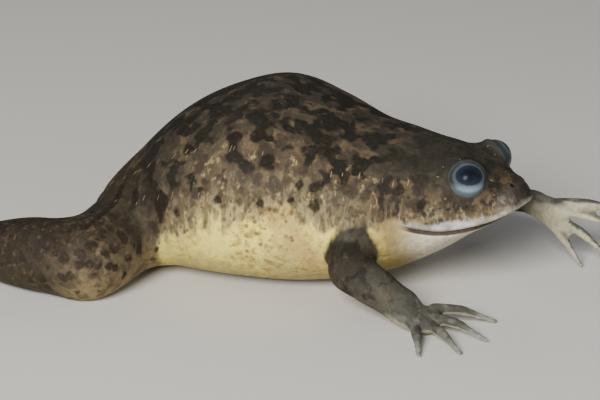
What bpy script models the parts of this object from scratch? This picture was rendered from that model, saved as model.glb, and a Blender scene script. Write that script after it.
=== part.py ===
"""African clawed frog: a still, life-size model that rests on its belly.

The frog faces +X and stands on the plane z = 0. The origin is the middle of the flat
under its belly. Sizes are in millimetres here and are scaled to metres in the meshes.
"""

import math

import bmesh
import bpy
import numpy as np
from mathutils import Vector

MM = 0.001
GAP = 0.3  # left between two pieces that touch
FLOOR_REACH = 60.0  # depth of the block that trims what would hang below the floor

# The body from rump to snout: x, half width, height of the widest line, back, belly.
BODY_SECTIONS = np.array([
    (-52.6, 0.0, 6.8, 6.8, 6.8),
    (-51.4, 4.4, 7.0, 9.0, 4.2),
    (-48.2, 9.8, 7.6, 12.4, 2.2),
    (-43.0, 16.5, 9.4, 15.6, 0.8),
    (-36.0, 24.0, 12.4, 25.4, 0.0),
    (-26.0, 29.5, 15.2, 35.4, -0.8),
    (-15.0, 31.6, 17.2, 41.4, -1.2),
    (-4.0, 31.4, 18.4, 44.3, -1.2),
    (8.0, 28.6, 18.6, 41.3, -0.8),
    (19.0, 24.4, 19.2, 37.4, 0.8),
    (28.0, 20.8, 19.8, 36.1, 3.4),
    (35.0, 17.6, 19.8, 35.2, 7.0),
    (42.0, 15.0, 19.2, 34.5, 11.4),
    (48.0, 12.6, 19.8, 32.1, 15.9),
    (53.0, 9.6, 21.2, 30.0, 19.2),
    (56.6, 6.6, 23.0, 28.1, 21.2),
    (58.8, 3.2, 24.2, 26.6, 22.6),
    (59.7, 0.0, 25.0, 25.0, 25.0),
])
BODY_ROUNDNESS_ABOVE = 2.15  # superellipse exponent of the upper half of a section
BODY_ROUNDNESS_BELOW = 2.3
BODY_SIDES = 36
RINGS_PER_SECTION = 2
NECK_X = 30.0
MOUTH_CORNER_X = 35.4

# The line between the jaws seen from the side: x, height.
MOUTH_LINE = np.array([
    (25.0, 20.6),
    (32.0, 20.6),
    (35.4, 19.9),
    (38.6, 19.1),
    (42.0, 18.7),
    (45.0, 18.8),
    (48.0, 19.3),
    (51.2, 20.0),
    (54.1, 20.9),
    (57.0, 22.1),
    (59.0, 23.4),
    (66.0, 25.6),
])

# Eyes stand out of the top of the head by about half and look up and outwards.
EYE_CENTRE = (47.6, 8.6, 29.7)
EYE_AXIS = (0.42, 0.71, 0.565)
EYE_RADIUS = 4.3
EYE_RIM_WIDTH = 0.65
EYE_RIM_RISE = 0.9  # from the centre of the eye along its axis

LIP_RADIUS = 0.85
NOSTRIL = (56.4, 2.8, 27.9)
NOSTRIL_AXIS = (0.45, 0.45, 0.77)
NOSTRIL_BUMP = 1.0
NOSTRIL_PIT = 0.42
VENT_LOBE = (-50.8, 1.9, 5.6)
VENT_LOBE_RADIUS = 2.4

# Limbs: stations of x, y, z, half width and half height from the root outwards.
RIGHT_UPPER_ARM = [
    (24.0, -9.0, 18.6, 4.8, 5.2),
    (24.8, -18.6, 15.4, 4.5, 4.8),
    (26.0, -24.6, 11.2, 4.6, 4.9),
]
RIGHT_FOREARM = [
    (27.2, -25.2, 10.2, 4.6, 4.8),
    (33.2, -27.2, 8.4, 4.4, 4.6),
    (39.6, -27.2, 5.2, 3.8, 3.6),
]
RIGHT_PALM = [
    (38.8, -27.2, 5.4, 3.7, 3.5),
    (42.4, -27.6, 3.6, 4.9, 2.9),
    (45.6, -27.0, 2.2, 4.7, 2.1),
]
RIGHT_FINGER_ROOTS = [
    (46.2, -23.4, 4.0), (47.4, -26.0, 2.9), (46.8, -29.0, 2.5), (44.6, -30.8, 2.3),
]
RIGHT_FINGER_TIPS = [
    (58.4, -17.0, 0.7), (60.2, -27.8, 0.7), (57.4, -36.6, 0.7), (49.8, -41.4, 0.7),
]

LEFT_UPPER_ARM = [
    (25.0, 9.0, 17.4, 5.2, 5.4),
    (27.0, 20.0, 15.6, 5.2, 5.2),
    (32.4, 31.6, 11.6, 4.8, 4.8),
]
LEFT_FOREARM = [
    (32.8, 32.0, 11.4, 4.4, 4.4),
    (42.6, 28.8, 13.0, 3.6, 3.7),
    (53.0, 23.6, 14.6, 2.4, 2.5),
]
LEFT_PALM = [
    (52.4, 23.9, 14.5, 2.3, 2.5),
    (56.0, 22.4, 13.9, 2.2, 3.4),
    (58.6, 22.2, 13.2, 1.8, 3.2),
]
LEFT_FINGER_ROOTS = [
    (57.6, 22.8, 15.4), (58.6, 22.5, 13.9), (58.8, 22.2, 12.3), (57.2, 21.8, 11.2),
]
LEFT_FINGER_TIPS = [
    (76.0, 25.0, 15.4), (76.0, 23.4, 11.2), (71.6, 27.6, 1.6), (65.4, 23.0, 0.6),
]

FINGER_RADII = (1.35, 1.15, 0.65)
FINGER_ARCH = 0.9  # how far the middle joint stands above the straight line

RIGHT_THIGH = [
    (-32.6, -8.0, 11.4, 9.6, 9.4),
    (-31.6, -24.0, 10.2, 9.8, 9.7),
    (-31.6, -34.5, 9.3, 9.7, 9.4),
    (-32.2, -40.2, 8.8, 8.9, 8.8),
]
RIGHT_SHANK = [
    (-33.4, -41.2, 8.6, 8.2, 8.5),
    (-45.0, -42.0, 8.5, 8.4, 8.6),
    (-56.5, -40.2, 6.8, 7.0, 7.0),
    (-68.0, -37.6, 5.0, 4.4, 4.6),
]
RIGHT_TARSUS = [
    (-67.0, -38.2, 4.8, 4.3, 4.3),
    (-73.6, -45.0, 3.9, 3.8, 3.6),
    (-80.0, -53.6, 2.8, 4.4, 2.6),
]
RIGHT_FOOT_ROOT = (-79.2, -52.6, 2.4)
RIGHT_FOOT_HEADING = 236.0  # degrees from +X, seen from above

LEFT_THIGH = [
    (-33.0, 8.0, 11.8, 9.8, 9.8),
    (-25.0, 22.0, 10.9, 10.4, 10.2),
    (-15.0, 34.0, 10.0, 9.8, 9.7),
    (-9.4, 39.6, 9.2, 8.4, 8.8),
]
LEFT_SHANK = [
    (-10.4, 40.8, 8.2, 7.6, 7.8),
    (-21.0, 45.4, 8.2, 7.8, 8.2),
    (-31.0, 48.6, 7.2, 6.8, 7.0),
    (-43.0, 50.6, 5.0, 4.4, 4.6),
]
LEFT_TARSUS = [
    (-42.6, 51.4, 4.8, 4.2, 4.2),
    (-39.6, 57.6, 3.8, 3.8, 3.4),
    (-35.0, 64.0, 2.8, 4.4, 2.6),
]
LEFT_FOOT_ROOT = (-35.6, 63.2, 2.4)
LEFT_FOOT_HEADING = 37.0

# Toes from the inner one outwards: length, and angle from the heading of the foot.
TOES = [(20.0, 40.0), (26.0, 22.0), (33.0, 3.0), (40.0, -17.0), (36.0, -37.0)]
TOE_RADII = (1.7, 1.35, 0.95)
TOE_TIP_HEIGHT = 0.95
CLAWED_TOES = 3
CLAW_LENGTH = 3.6
CLAW_DROP = 0.35
WEB_THICKNESS = 0.7
WEB_REACH = 0.9  # share of a toe that its web runs along
WEB_SCALLOP = 0.32  # how deep the free edge is cut in between two toes

SKIN_BACK = (0.20, 0.155, 0.105, 1.0)
SKIN_THROAT = (0.62, 0.55, 0.38, 1.0)
SKIN_LIMB = (0.17, 0.135, 0.10, 1.0)
EYE_COLOUR = (0.10, 0.14, 0.19, 1.0)
CLAW_COLOUR = (0.02, 0.017, 0.015, 1.0)


def material(name, colour, roughness, metallic=0.0):
    made = bpy.data.materials.get(name) or bpy.data.materials.new(name)
    made.use_nodes = True
    shader = made.node_tree.nodes["Principled BSDF"]
    shader.inputs["Base Color"].default_value = colour
    shader.inputs["Roughness"].default_value = roughness
    shader.inputs["Metallic"].default_value = metallic
    return made


def clear_scene():
    for old in list(bpy.data.objects):
        bpy.data.objects.remove(old, do_unlink=True)


def collection(name, hidden=False):
    made = bpy.data.collections.new(name)
    bpy.context.scene.collection.children.link(made)
    made.hide_render = hidden
    return made


def object_from(name, points, faces, home):
    """A mesh object whose points are given in millimetres."""
    mesh = bpy.data.meshes.new(name)
    mesh.from_pydata((np.asarray(points) * MM).tolist(), [], faces)
    made = bpy.data.objects.new(name, mesh)
    home.objects.link(made)
    face_outwards(made)
    return made


def face_outwards(obj):
    """Turns the faces of a closed mesh outwards."""
    shape = bmesh.new()
    shape.from_mesh(obj.data)
    bmesh.ops.recalc_face_normals(shape, faces=shape.faces)
    if shape.calc_volume(signed=True) < 0:
        bmesh.ops.reverse_faces(shape, faces=shape.faces)
    shape.to_mesh(obj.data)
    shape.free()


def smooth_through(stations, per_span):
    """Points on the Catmull-Rom curve through the stations, with per_span steps between two."""
    stations = np.asarray(stations, float)
    before = 2 * stations[0] - stations[1]
    after = 2 * stations[-1] - stations[-2]
    padded = np.vstack([before, stations, after])
    spans = len(stations) - 1
    t = np.linspace(0, spans, spans * per_span + 1)
    i = np.minimum(t.astype(int), spans - 1)
    f = (t - i)[:, None]
    p0, p1, p2, p3 = (padded[i + k] for k in range(4))
    return 0.5 * (
        2 * p1
        + (p2 - p0) * f
        + (2 * p0 - 5 * p1 + 4 * p2 - p3) * f**2
        + (3 * p1 - p0 - 3 * p2 + p3) * f**3
    )


def loft(name, rings, start, end, home):
    """A closed skin over rings of equal count, with a point at each end."""
    count, sides = len(rings), len(rings[0])
    points = [start, *np.asarray(rings).reshape(-1, 3), end]
    last = count * sides + 1
    faces = []
    for k in range(sides):
        n = (k + 1) % sides
        faces.append((0, 1 + k, 1 + n))
        faces.append((last, last - sides + n, last - sides + k))
        for r in range(count - 1):
            a, b = 1 + r * sides, 1 + (r + 1) * sides
            faces.append((a + k, b + k, b + n, a + n))
    return object_from(name, points, faces, home)


def superellipse(angles, exponent):
    """Unit superellipse: cosine and sine with their sizes raised to 2 / exponent."""
    c, s = np.cos(angles), np.sin(angles)
    power = 2 / exponent
    return np.sign(c) * np.abs(c) ** power, np.sign(s) * np.abs(s) ** power


def body_stations():
    return smooth_through(BODY_SECTIONS, RINGS_PER_SECTION)


def body_loft(name, grown, home):
    """The whole of the head and trunk, grown outwards by that many millimetres."""
    angles = np.linspace(0, 2 * math.pi, BODY_SIDES, endpoint=False)
    above = superellipse(angles, BODY_ROUNDNESS_ABOVE)
    below = superellipse(angles, BODY_ROUNDNESS_BELOW)
    upper = np.sin(angles) >= 0
    rings = []
    stations = body_stations()
    for x, width, level, back, belly in stations[1:-1]:
        width = max(width, 0.3) + grown
        rise, fall = back - level + grown, level - belly + grown
        y = np.where(upper, above[0], below[0]) * width
        z = level + np.where(upper, above[1] * rise, below[1] * fall)
        rings.append(np.column_stack([np.full(BODY_SIDES, x), y, z]))
    rump, snout = stations[0], stations[-1]
    start = (rump[0] - grown, 0.0, rump[2])
    end = (snout[0] + grown, 0.0, snout[2])
    return loft(name, rings, start, end, home)


def section_at(x):
    """Half width, widest line, back and belly of the body at x."""
    stations = body_stations()
    return [float(np.interp(x, stations[:, 0], stations[:, k])) for k in range(1, 5)]


def tube_rings(stations, sides, per_span, grown):
    """Oval rings square to a path. Their width lies level and their height is square to it."""
    line = smooth_through(stations, per_span)
    centres, half = line[:, :3], line[:, 3:] + grown
    heading = np.gradient(centres, axis=0)
    heading /= np.linalg.norm(heading, axis=1)[:, None]
    level = np.cross(heading, (0.0, 0.0, 1.0))
    level /= np.linalg.norm(level, axis=1)[:, None]
    upright = np.cross(level, heading)
    angles = np.linspace(0, 2 * math.pi, sides, endpoint=False)
    wide = np.cos(angles)[None, :, None] * (level * half[:, :1])[:, None]
    high = np.sin(angles)[None, :, None] * (upright * half[:, 1:])[:, None]
    return centres[:, None] + wide + high, centres, heading, half


def limb(name, stations, home, grown=0.0, sides=14, per_span=3, round_end=True):
    """A tapered oval limb from its root to its far joint, which is rounded off."""
    rings, centres, heading, half = tube_rings(stations, sides, per_span, grown)
    rings = list(rings)
    end = centres[-1] + heading[-1] * 0.01
    if round_end:
        offset = rings[-1] - centres[-1]
        reach = half[-1].mean()
        for turn in (30.0, 58.0):
            lift = math.sin(math.radians(turn)) * reach
            rings.append(centres[-1] + heading[-1] * lift + offset * math.cos(math.radians(turn)))
        end = centres[-1] + heading[-1] * reach
    return loft(name, rings, centres[0], end, home)


def ball(name, centre, radius, home, segments=16, rings=10):
    shape = bmesh.new()
    bmesh.ops.create_uvsphere(shape, u_segments=segments, v_segments=rings, radius=radius * MM)
    return primitive(name, shape, centre, (0, 0, 1), home)


def primitive(name, shape, centre, axis, home):
    """Turns a bmesh primitive's Z to an axis and moves it to a centre, in its mesh."""
    turn = Vector(axis).to_track_quat("Z", "Y").to_matrix().to_4x4()
    bmesh.ops.transform(shape, matrix=turn, verts=shape.verts)
    bmesh.ops.translate(shape, vec=Vector(centre) * MM, verts=shape.verts)
    mesh = bpy.data.meshes.new(name)
    shape.to_mesh(mesh)
    shape.free()
    made = bpy.data.objects.new(name, mesh)
    home.objects.link(made)
    return made


def cone(name, centre, axis, radius, tip, length, home, segments=10):
    shape = bmesh.new()
    bmesh.ops.create_cone(
        shape, cap_ends=True, segments=segments,
        radius1=radius * MM, radius2=tip * MM, depth=length * MM,
    )
    return primitive(name, shape, centre, axis, home)


def ring_around(name, centre, axis, radius, thickness, home):
    """A closed ring of round section, made as a bevelled circle and turned into a mesh."""
    bpy.ops.curve.primitive_bezier_circle_add(radius=radius * MM)
    curve = bpy.context.object
    curve.data.bevel_depth = thickness * MM
    curve.data.bevel_resolution = 1
    curve.data.resolution_u = 5
    curve.location = Vector(centre) * MM
    curve.rotation_euler = Vector(axis).to_track_quat("Z", "Y").to_euler()
    return meshed(name, curve, home)


def meshed(name, curve, home):
    """A curve's evaluated shape as a welded mesh object that takes its place."""
    bpy.context.view_layer.update()
    graph = bpy.context.evaluated_depsgraph_get()
    mesh = bpy.data.meshes.new_from_object(curve.evaluated_get(graph))
    mesh.transform(curve.matrix_world)
    shape = bmesh.new()
    shape.from_mesh(mesh)
    bmesh.ops.remove_doubles(shape, verts=shape.verts, dist=0.00001)
    shape.to_mesh(mesh)
    shape.free()
    made = bpy.data.objects.new(name, mesh)
    home.objects.link(made)
    bpy.data.objects.remove(curve, do_unlink=True)
    face_outwards(made)
    return made


def rod(name, path, radius, home, resolution=1):
    """A round rod through points, as a poly spline with filled caps."""
    data = bpy.data.curves.new(name, "CURVE")
    data.dimensions = "3D"
    data.bevel_depth = radius * MM
    data.bevel_resolution = resolution
    data.use_fill_caps = True
    spline = data.splines.new("POLY")
    spline.points.add(len(path) - 1)
    for point, place in zip(spline.points, path):
        point.co = (*(Vector(place) * MM), 1.0)
    curve = bpy.data.objects.new(name + "_line", data)
    home.objects.link(curve)
    return meshed(name, curve, home)


def apply_modifiers(obj):
    graph = bpy.context.evaluated_depsgraph_get()
    mesh = bpy.data.meshes.new_from_object(obj.evaluated_get(graph))
    obj.modifiers.clear()
    obj.data = mesh


def cut(obj, cutter, solver="EXACT"):
    step = obj.modifiers.new("cut", "BOOLEAN")
    step.operation = "DIFFERENCE"
    step.solver = solver
    step.object = cutter
    apply_modifiers(obj)


def fuse(obj, pieces, solver="EXACT"):
    """Joins pieces to obj by one union on a collection, which is then removed."""
    together = bpy.data.collections.new("fused_pieces")
    bpy.context.scene.collection.children.link(together)
    for piece in pieces:
        for home in list(piece.users_collection):
            home.objects.unlink(piece)
        together.objects.link(piece)
    step = obj.modifiers.new("fuse", "BOOLEAN")
    step.operation = "UNION"
    step.solver = solver
    step.operand_type = "COLLECTION"
    step.collection = together
    apply_modifiers(obj)
    for piece in pieces:
        bpy.data.objects.remove(piece, do_unlink=True)
    bpy.data.collections.remove(together)


def islands_of(shape):
    """The separate surfaces of a bmesh, each as a list of its vertices."""
    islands, seen = [], set()
    for seed in shape.verts:
        if seed in seen:
            continue
        island, waiting = [], [seed]
        seen.add(seed)
        while waiting:
            vertex = waiting.pop()
            island.append(vertex)
            for edge in vertex.link_edges:
                other = edge.other_vert(vertex)
                if other not in seen:
                    seen.add(other)
                    waiting.append(other)
        islands.append(island)
    return islands


def keep_largest(obj):
    """Keeps only the largest closed surface, so that no sealed hollow or loose scrap stays."""
    shape = bmesh.new()
    shape.from_mesh(obj.data)
    islands = sorted(islands_of(shape), key=span_of, reverse=True)
    for island in islands[1:]:
        bmesh.ops.delete(shape, geom=island, context="VERTS")
    shape.to_mesh(obj.data)
    shape.free()


def keep_above(obj, height, above):
    """Keeps the surfaces whose middle lies above a height, or those below it."""
    shape = bmesh.new()
    shape.from_mesh(obj.data)
    for island in islands_of(shape):
        middle = np.mean([v.co.z for v in island])
        if (middle > height * MM) != above:
            bmesh.ops.delete(shape, geom=island, context="VERTS")
    shape.to_mesh(obj.data)
    shape.free()
    keep_largest(obj)


def span_of(vertices):
    corners = np.array([v.co for v in vertices])
    return float(np.prod(np.ptp(corners, axis=0) + 1e-6))


def finish(obj, name, colour, roughness, home):
    """Gives a finished node its name, its place in the frog's collection and its material."""
    obj.name = name
    obj.data.name = name
    for old in list(obj.users_collection):
        old.objects.unlink(obj)
    home.objects.link(obj)
    obj.data.materials.clear()
    obj.data.materials.append(material(name + "_finish", colour, roughness))
    obj.data.shade_smooth()
    obj.data.set_sharp_from_angle(angle=math.radians(50))
    return obj


def mouth_height(x):
    return float(np.interp(x, MOUTH_LINE[:, 0], MOUTH_LINE[:, 1]))


def mouth_blade(home):
    """A thin curved blade along the line of the mouth, from the neck to past the snout."""
    xs = MOUTH_LINE[:, 0]
    reach = 24.0
    rings = []
    for x in xs:
        z = mouth_height(x)
        rings.append([
            (x, -reach, z - GAP / 2), (x, reach, z - GAP / 2),
            (x, reach, z + GAP / 2), (x, -reach, z + GAP / 2),
        ])
    start = (xs[0], 0.0, mouth_height(xs[0]))
    end = (xs[-1], 0.0, mouth_height(xs[-1]))
    return loft("mouth_blade", rings, start, end, home)


def lip_path():
    """Round the snout from one corner of the mouth to the other, just above its line."""
    xs = np.array([MOUTH_CORNER_X, 40.0, 44.0, 48.0, 51.5, 54.5, 57.0, 58.6])
    side = [(x, section_at(x)[0] - 0.25, mouth_height(x) + LIP_RADIUS + GAP / 2) for x in xs]
    front = (59.4, 0.0, mouth_height(59.4) + LIP_RADIUS + GAP / 2)
    return [(x, -y, z) for x, y, z in side] + [front] + side[::-1]


def slab(name, low, high, home):
    """A box between two corners."""
    shape = bmesh.new()
    bmesh.ops.create_cube(shape, size=1.0)
    size = (Vector(high) - Vector(low)) * MM
    bmesh.ops.scale(shape, vec=size, verts=shape.verts)
    return primitive(name, shape, (Vector(high) + Vector(low)) / 2, (0, 0, 1), home)


def mirrored(point, side):
    return (point[0], point[1] * side, point[2])


def build_trunk(frog, workshop, floor):
    """The body behind the neck, with two small lobes over the vent and a flat under the belly."""
    ahead = slab("ahead_of_neck", (NECK_X - GAP / 2, -60, -30), (90, 60, 80), workshop)
    trunk = body_loft("trunk", 0.0, workshop)
    lobes = [
        ball(f"lobe_{side}", mirrored(VENT_LOBE, side), VENT_LOBE_RADIUS, workshop, 10, 6)
        for side in (-1, 1)
    ]
    fuse(trunk, lobes)
    cut(trunk, ahead)
    cut(trunk, floor)
    keep_largest(trunk)
    finish(trunk, "trunk", SKIN_BACK, 0.45, frog)


def build_head(frog, workshop, behind, blade):
    """The head above the mouth line: lip, orbital rims, eye sockets and pierced nostrils."""
    head = body_loft("head", 0.0, workshop)
    additions = [rod("lip", lip_path(), LIP_RADIUS, workshop)]
    for side in (-1, 1):
        axis = Vector(mirrored(EYE_AXIS, side)).normalized()
        rim_centre = Vector(mirrored(EYE_CENTRE, side)) + axis * EYE_RIM_RISE
        additions.append(
            ring_around(f"rim_{side}", rim_centre, axis, EYE_RADIUS - 0.1, EYE_RIM_WIDTH, workshop)
        )
        bump = mirrored(NOSTRIL, side)
        additions.append(ball(f"bump_{side}", bump, NOSTRIL_BUMP, workshop, 10, 6))
    fuse(head, additions)
    for side in (-1, 1):
        socket = ball(f"socket_{side}", mirrored(EYE_CENTRE, side), EYE_RADIUS + GAP, workshop)
        cut(head, socket)
        axis = Vector(mirrored(NOSTRIL_AXIS, side)).normalized()
        mouth = Vector(mirrored(NOSTRIL, side)) + axis * NOSTRIL_BUMP
        pit = cone(f"pit_{side}", mouth, axis, NOSTRIL_PIT, NOSTRIL_PIT, 1.6, workshop, 8)
        cut(head, pit)
    cut(head, behind)
    cut(head, blade)
    keep_above(head, mouth_height(45.0), True)
    finish(head, "head", SKIN_BACK, 0.42, frog)


def build_lower_jaw(frog, workshop, behind, blade):
    """The head below the mouth line."""
    jaw = body_loft("lower_jaw", 0.0, workshop)
    cut(jaw, behind)
    cut(jaw, blade)
    keep_above(jaw, mouth_height(45.0), False)
    finish(jaw, "lower_jaw", SKIN_THROAT, 0.42, frog)


def build_eyes(frog, workshop):
    for side, word in ((-1, "right"), (1, "left")):
        eye = ball(f"eye_{word}", mirrored(EYE_CENTRE, side), EYE_RADIUS, workshop)
        finish(eye, f"eye_{word}", EYE_COLOUR, 0.08, frog)


def finger(name, root, tip, radii, arch, home, sides=8, blunt=False):
    """A slender tapering digit that arches up between its root and its tip."""
    root, tip = Vector(root), Vector(tip)
    middle = root.lerp(tip, 0.45) + Vector((0, 0, arch))
    near_tip = root.lerp(tip, 0.8) + Vector((0, 0, arch * 0.4))
    stations = [
        (*root, radii[0], radii[0]),
        (*middle, radii[1], radii[1]),
        (*near_tip, radii[2] * 1.1, radii[2] * 1.1),
        (*tip, radii[2], radii[2]),
    ]
    return limb(name, stations, home, sides=sides, per_span=2, round_end=not blunt)


def build_arm(word, upper, fore, palm, roots, tips, frog, workshop, floor, body_grown):
    upper_arm = limb(f"upper_arm_{word}", upper, workshop)
    cut(upper_arm, body_grown)
    cut(upper_arm, floor)
    keep_largest(upper_arm)
    finish(upper_arm, f"upper_arm_{word}", SKIN_LIMB, 0.5, frog)

    upper_grown = limb("upper_grown", upper, workshop, grown=GAP)
    forearm = limb(f"forearm_{word}", fore, workshop)
    cut(forearm, upper_grown)
    cut(forearm, body_grown)
    cut(forearm, floor)
    keep_largest(forearm)
    finish(forearm, f"forearm_{word}", SKIN_LIMB, 0.5, frog)

    fore_grown = limb("fore_grown", fore, workshop, grown=GAP)
    hand = limb(f"hand_{word}", palm, workshop, sides=12, per_span=2)
    digits = [
        finger(f"finger_{k}", root, tip, FINGER_RADII, FINGER_ARCH, workshop)
        for k, (root, tip) in enumerate(zip(roots, tips))
    ]
    fuse(hand, digits)
    cut(hand, fore_grown)
    cut(hand, floor)
    keep_largest(hand)
    finish(hand, f"hand_{word}", SKIN_LIMB, 0.5, frog)


def toe_lines(root, heading, side):
    """Root and tip of each toe. The inner toe is on the right of a left foot's heading."""
    lines = []
    for length, spread in TOES:
        turn = math.radians(heading - side * spread)
        reach = Vector((math.cos(turn), math.sin(turn), 0.0))
        start = Vector(root) + reach * 1.0
        tip = Vector(root) + reach * length
        tip.z = TOE_TIP_HEIGHT
        lines.append((start, tip))
    return lines


def web(name, first, second, home):
    """The membrane between two toes: a thin plate whose free edge is scalloped."""
    steps, across = 5, 3
    top, bottom = [], []
    for i in range(steps + 1):
        for j in range(across + 1):
            t = j / across
            reach = WEB_REACH * (1 - WEB_SCALLOP * 4 * t * (1 - t)) * i / steps
            a = first[0].lerp(first[1], reach)
            b = second[0].lerp(second[1], reach)
            apart = (b - a).normalized() * min(0.25, (b - a).length / 3)
            place = (a + apart).lerp(b - apart, t)
            top.append(tuple(place + Vector((0, 0, WEB_THICKNESS / 2))))
            bottom.append(tuple(place - Vector((0, 0, WEB_THICKNESS / 2))))
    row = across + 1
    size = len(top)
    faces = []
    for i in range(steps):
        for j in range(across):
            a, b, c, d = i * row + j, i * row + j + 1, (i + 1) * row + j + 1, (i + 1) * row + j
            faces += [(a, b, c), (a, c, d)]
            faces += [(size + c, size + b, size + a), (size + d, size + c, size + a)]
    border = (
        [j for j in range(row)]
        + [i * row + across for i in range(1, steps + 1)]
        + [steps * row + j for j in range(across - 1, -1, -1)]
        + [i * row for i in range(steps - 1, 0, -1)]
    )
    for k, a in enumerate(border):
        b = border[(k + 1) % len(border)]
        faces += [(a, size + a, size + b), (a, size + b, b)]
    return object_from(name, top + bottom, faces, home)


def build_leg(word, side, thigh_line, shank_line, tarsus_line, root, heading, frog, workshop, floor,
              body_grown):
    thigh = limb(f"thigh_{word}", thigh_line, workshop, sides=18)
    cut(thigh, body_grown)
    cut(thigh, floor)
    keep_largest(thigh)
    finish(thigh, f"thigh_{word}", SKIN_LIMB, 0.48, frog)

    thigh_grown = limb("thigh_grown", thigh_line, workshop, grown=GAP, sides=18)
    shank = limb(f"shank_{word}", shank_line, workshop, sides=16)
    cut(shank, thigh_grown)
    cut(shank, body_grown)
    cut(shank, floor)
    keep_largest(shank)
    finish(shank, f"shank_{word}", SKIN_LIMB, 0.48, frog)

    shank_grown = limb("shank_grown", shank_line, workshop, grown=GAP, sides=16)
    foot = limb(f"foot_{word}", tarsus_line, workshop, sides=12, per_span=2)
    lines = toe_lines(root, heading, side)
    pieces = []
    for k, (start, tip) in enumerate(lines):
        clawed = k < CLAWED_TOES
        pieces.append(finger(f"toe_{k}", start, tip, TOE_RADII, 0.5, workshop, blunt=clawed))
    for k in range(len(lines) - 1):
        pieces.append(web(f"web_{k}", lines[k], lines[k + 1], workshop))
    fuse(foot, pieces)
    cut(foot, shank_grown)
    cut(foot, floor)
    keep_largest(foot)
    finish(foot, f"foot_{word}", SKIN_LIMB, 0.5, frog)

    for k in range(CLAWED_TOES):
        start, tip = lines[k]
        reach = (tip - start).normalized()
        base = tip + reach * GAP
        end = base + reach * CLAW_LENGTH - Vector((0, 0, CLAW_DROP))
        line = end - base
        claw = cone(f"claw_{word}_{k + 1}", base + line / 2, line, TOE_RADII[2] * 0.92, 0.14,
                    line.length, workshop)
        cut(claw, floor)
        keep_largest(claw)
        finish(claw, f"claw_{word}_{k + 1}", CLAW_COLOUR, 0.25, frog)


def main():
    clear_scene()
    frog = collection("african_clawed_frog")
    workshop = collection("cutters", hidden=True)
    floor = slab("floor_block", (-200, -200, -FLOOR_REACH), (200, 200, 0), workshop)
    body_grown = body_loft("body_grown", GAP, workshop)
    behind = slab("behind_neck", (-80, -60, -30), (NECK_X + GAP / 2, 60, 80), workshop)
    blade = mouth_blade(workshop)

    build_trunk(frog, workshop, floor)
    build_head(frog, workshop, behind, blade)
    build_lower_jaw(frog, workshop, behind, blade)
    build_eyes(frog, workshop)
    build_arm("right", RIGHT_UPPER_ARM, RIGHT_FOREARM, RIGHT_PALM, RIGHT_FINGER_ROOTS,
              RIGHT_FINGER_TIPS, frog, workshop, floor, body_grown)
    build_arm("left", LEFT_UPPER_ARM, LEFT_FOREARM, LEFT_PALM, LEFT_FINGER_ROOTS,
              LEFT_FINGER_TIPS, frog, workshop, floor, body_grown)
    build_leg("right", -1, RIGHT_THIGH, RIGHT_SHANK, RIGHT_TARSUS, RIGHT_FOOT_ROOT,
              RIGHT_FOOT_HEADING, frog, workshop, floor, body_grown)
    build_leg("left", 1, LEFT_THIGH, LEFT_SHANK, LEFT_TARSUS, LEFT_FOOT_ROOT,
              LEFT_FOOT_HEADING, frog, workshop, floor, body_grown)
    for left_over in list(workshop.objects):
        left_over.hide_render = True
        left_over.display_type = "WIRE"


main()
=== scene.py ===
# %% [markdown]
# # An African clawed frog, life-size and still
#
# The frog lies on its belly, its head raised and its hands spread. Its solids come first, as a
# imported frame in metres: +X to the snout, +Y to the frog's left, +Z up, the floor at z = 0.
# Over them goes what they can't show: one wet skin without seams, glassy eyes, thin webs,
# horny claws and the small pale stitches of the lateral line.

# %% Load the solids
import math

import bmesh
import bpy
import numpy as np
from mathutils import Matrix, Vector
from mathutils.bvhtree import BVHTree


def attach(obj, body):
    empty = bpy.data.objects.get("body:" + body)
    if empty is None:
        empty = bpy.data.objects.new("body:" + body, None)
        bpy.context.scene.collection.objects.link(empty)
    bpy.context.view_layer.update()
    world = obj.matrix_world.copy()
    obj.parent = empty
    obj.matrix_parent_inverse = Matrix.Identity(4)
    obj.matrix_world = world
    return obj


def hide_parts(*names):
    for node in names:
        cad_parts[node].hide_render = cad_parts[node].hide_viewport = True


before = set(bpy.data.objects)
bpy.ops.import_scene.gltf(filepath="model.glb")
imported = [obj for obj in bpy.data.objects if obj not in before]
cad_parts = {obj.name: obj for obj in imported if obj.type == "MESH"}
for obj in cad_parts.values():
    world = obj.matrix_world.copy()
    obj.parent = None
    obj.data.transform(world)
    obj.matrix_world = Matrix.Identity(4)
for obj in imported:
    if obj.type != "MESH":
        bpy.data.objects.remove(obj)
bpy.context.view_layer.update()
MM = 0.001

# %% [markdown]
# ## Curves through stations
#
# A body is easiest to state as a few stations: where the middle is, how wide and how high.
# The curve here is made of cubic pieces that pass through every station, so the numbers stay
# true sizes, where a B-spline would cut the corners between them.


# %% A smooth curve through stations
def smooth_path(stations, count):
    """Cubic pieces: between stations b and c, with neighbours a and d, and f from 0 to 1, the
    point is half of 2b + (c - a) f + (2a - 5b + 4c - d) f^2 + (3b - a - 3c + d) f^3."""
    stations = np.asarray(stations, float)
    padded = np.vstack([2 * stations[0] - stations[1], stations, 2 * stations[-1] - stations[-2]])
    t = np.linspace(0, len(stations) - 1, count)
    i = np.minimum(t.astype(int), len(stations) - 2)
    f = (t - i)[:, None]
    a, b, c, d = (padded[i + k] for k in range(4))
    return 0.5 * (
        2 * b + (c - a) * f + (2 * a - 5 * b + 4 * c - d) * f**2 + (3 * b - a - 3 * c + d) * f**3
    )


print("a path through 0, 2 and 3:", smooth_path([[0], [2], [3]], 5).ravel())


# %% A soft step and a bell
def blend(low, high, value):
    """A soft step: 0 below low, 1 above high, and 3t^2 - 2t^3 in between."""
    t = np.clip((value - low) / (high - low), 0, 1)
    return t * t * (3 - 2 * t)


def bell(value, middle, width):
    """1 at the middle, and exp(-((value - middle) / width)^2) to either side of it."""
    return np.exp(-(((value - middle) / width) ** 2))


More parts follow.
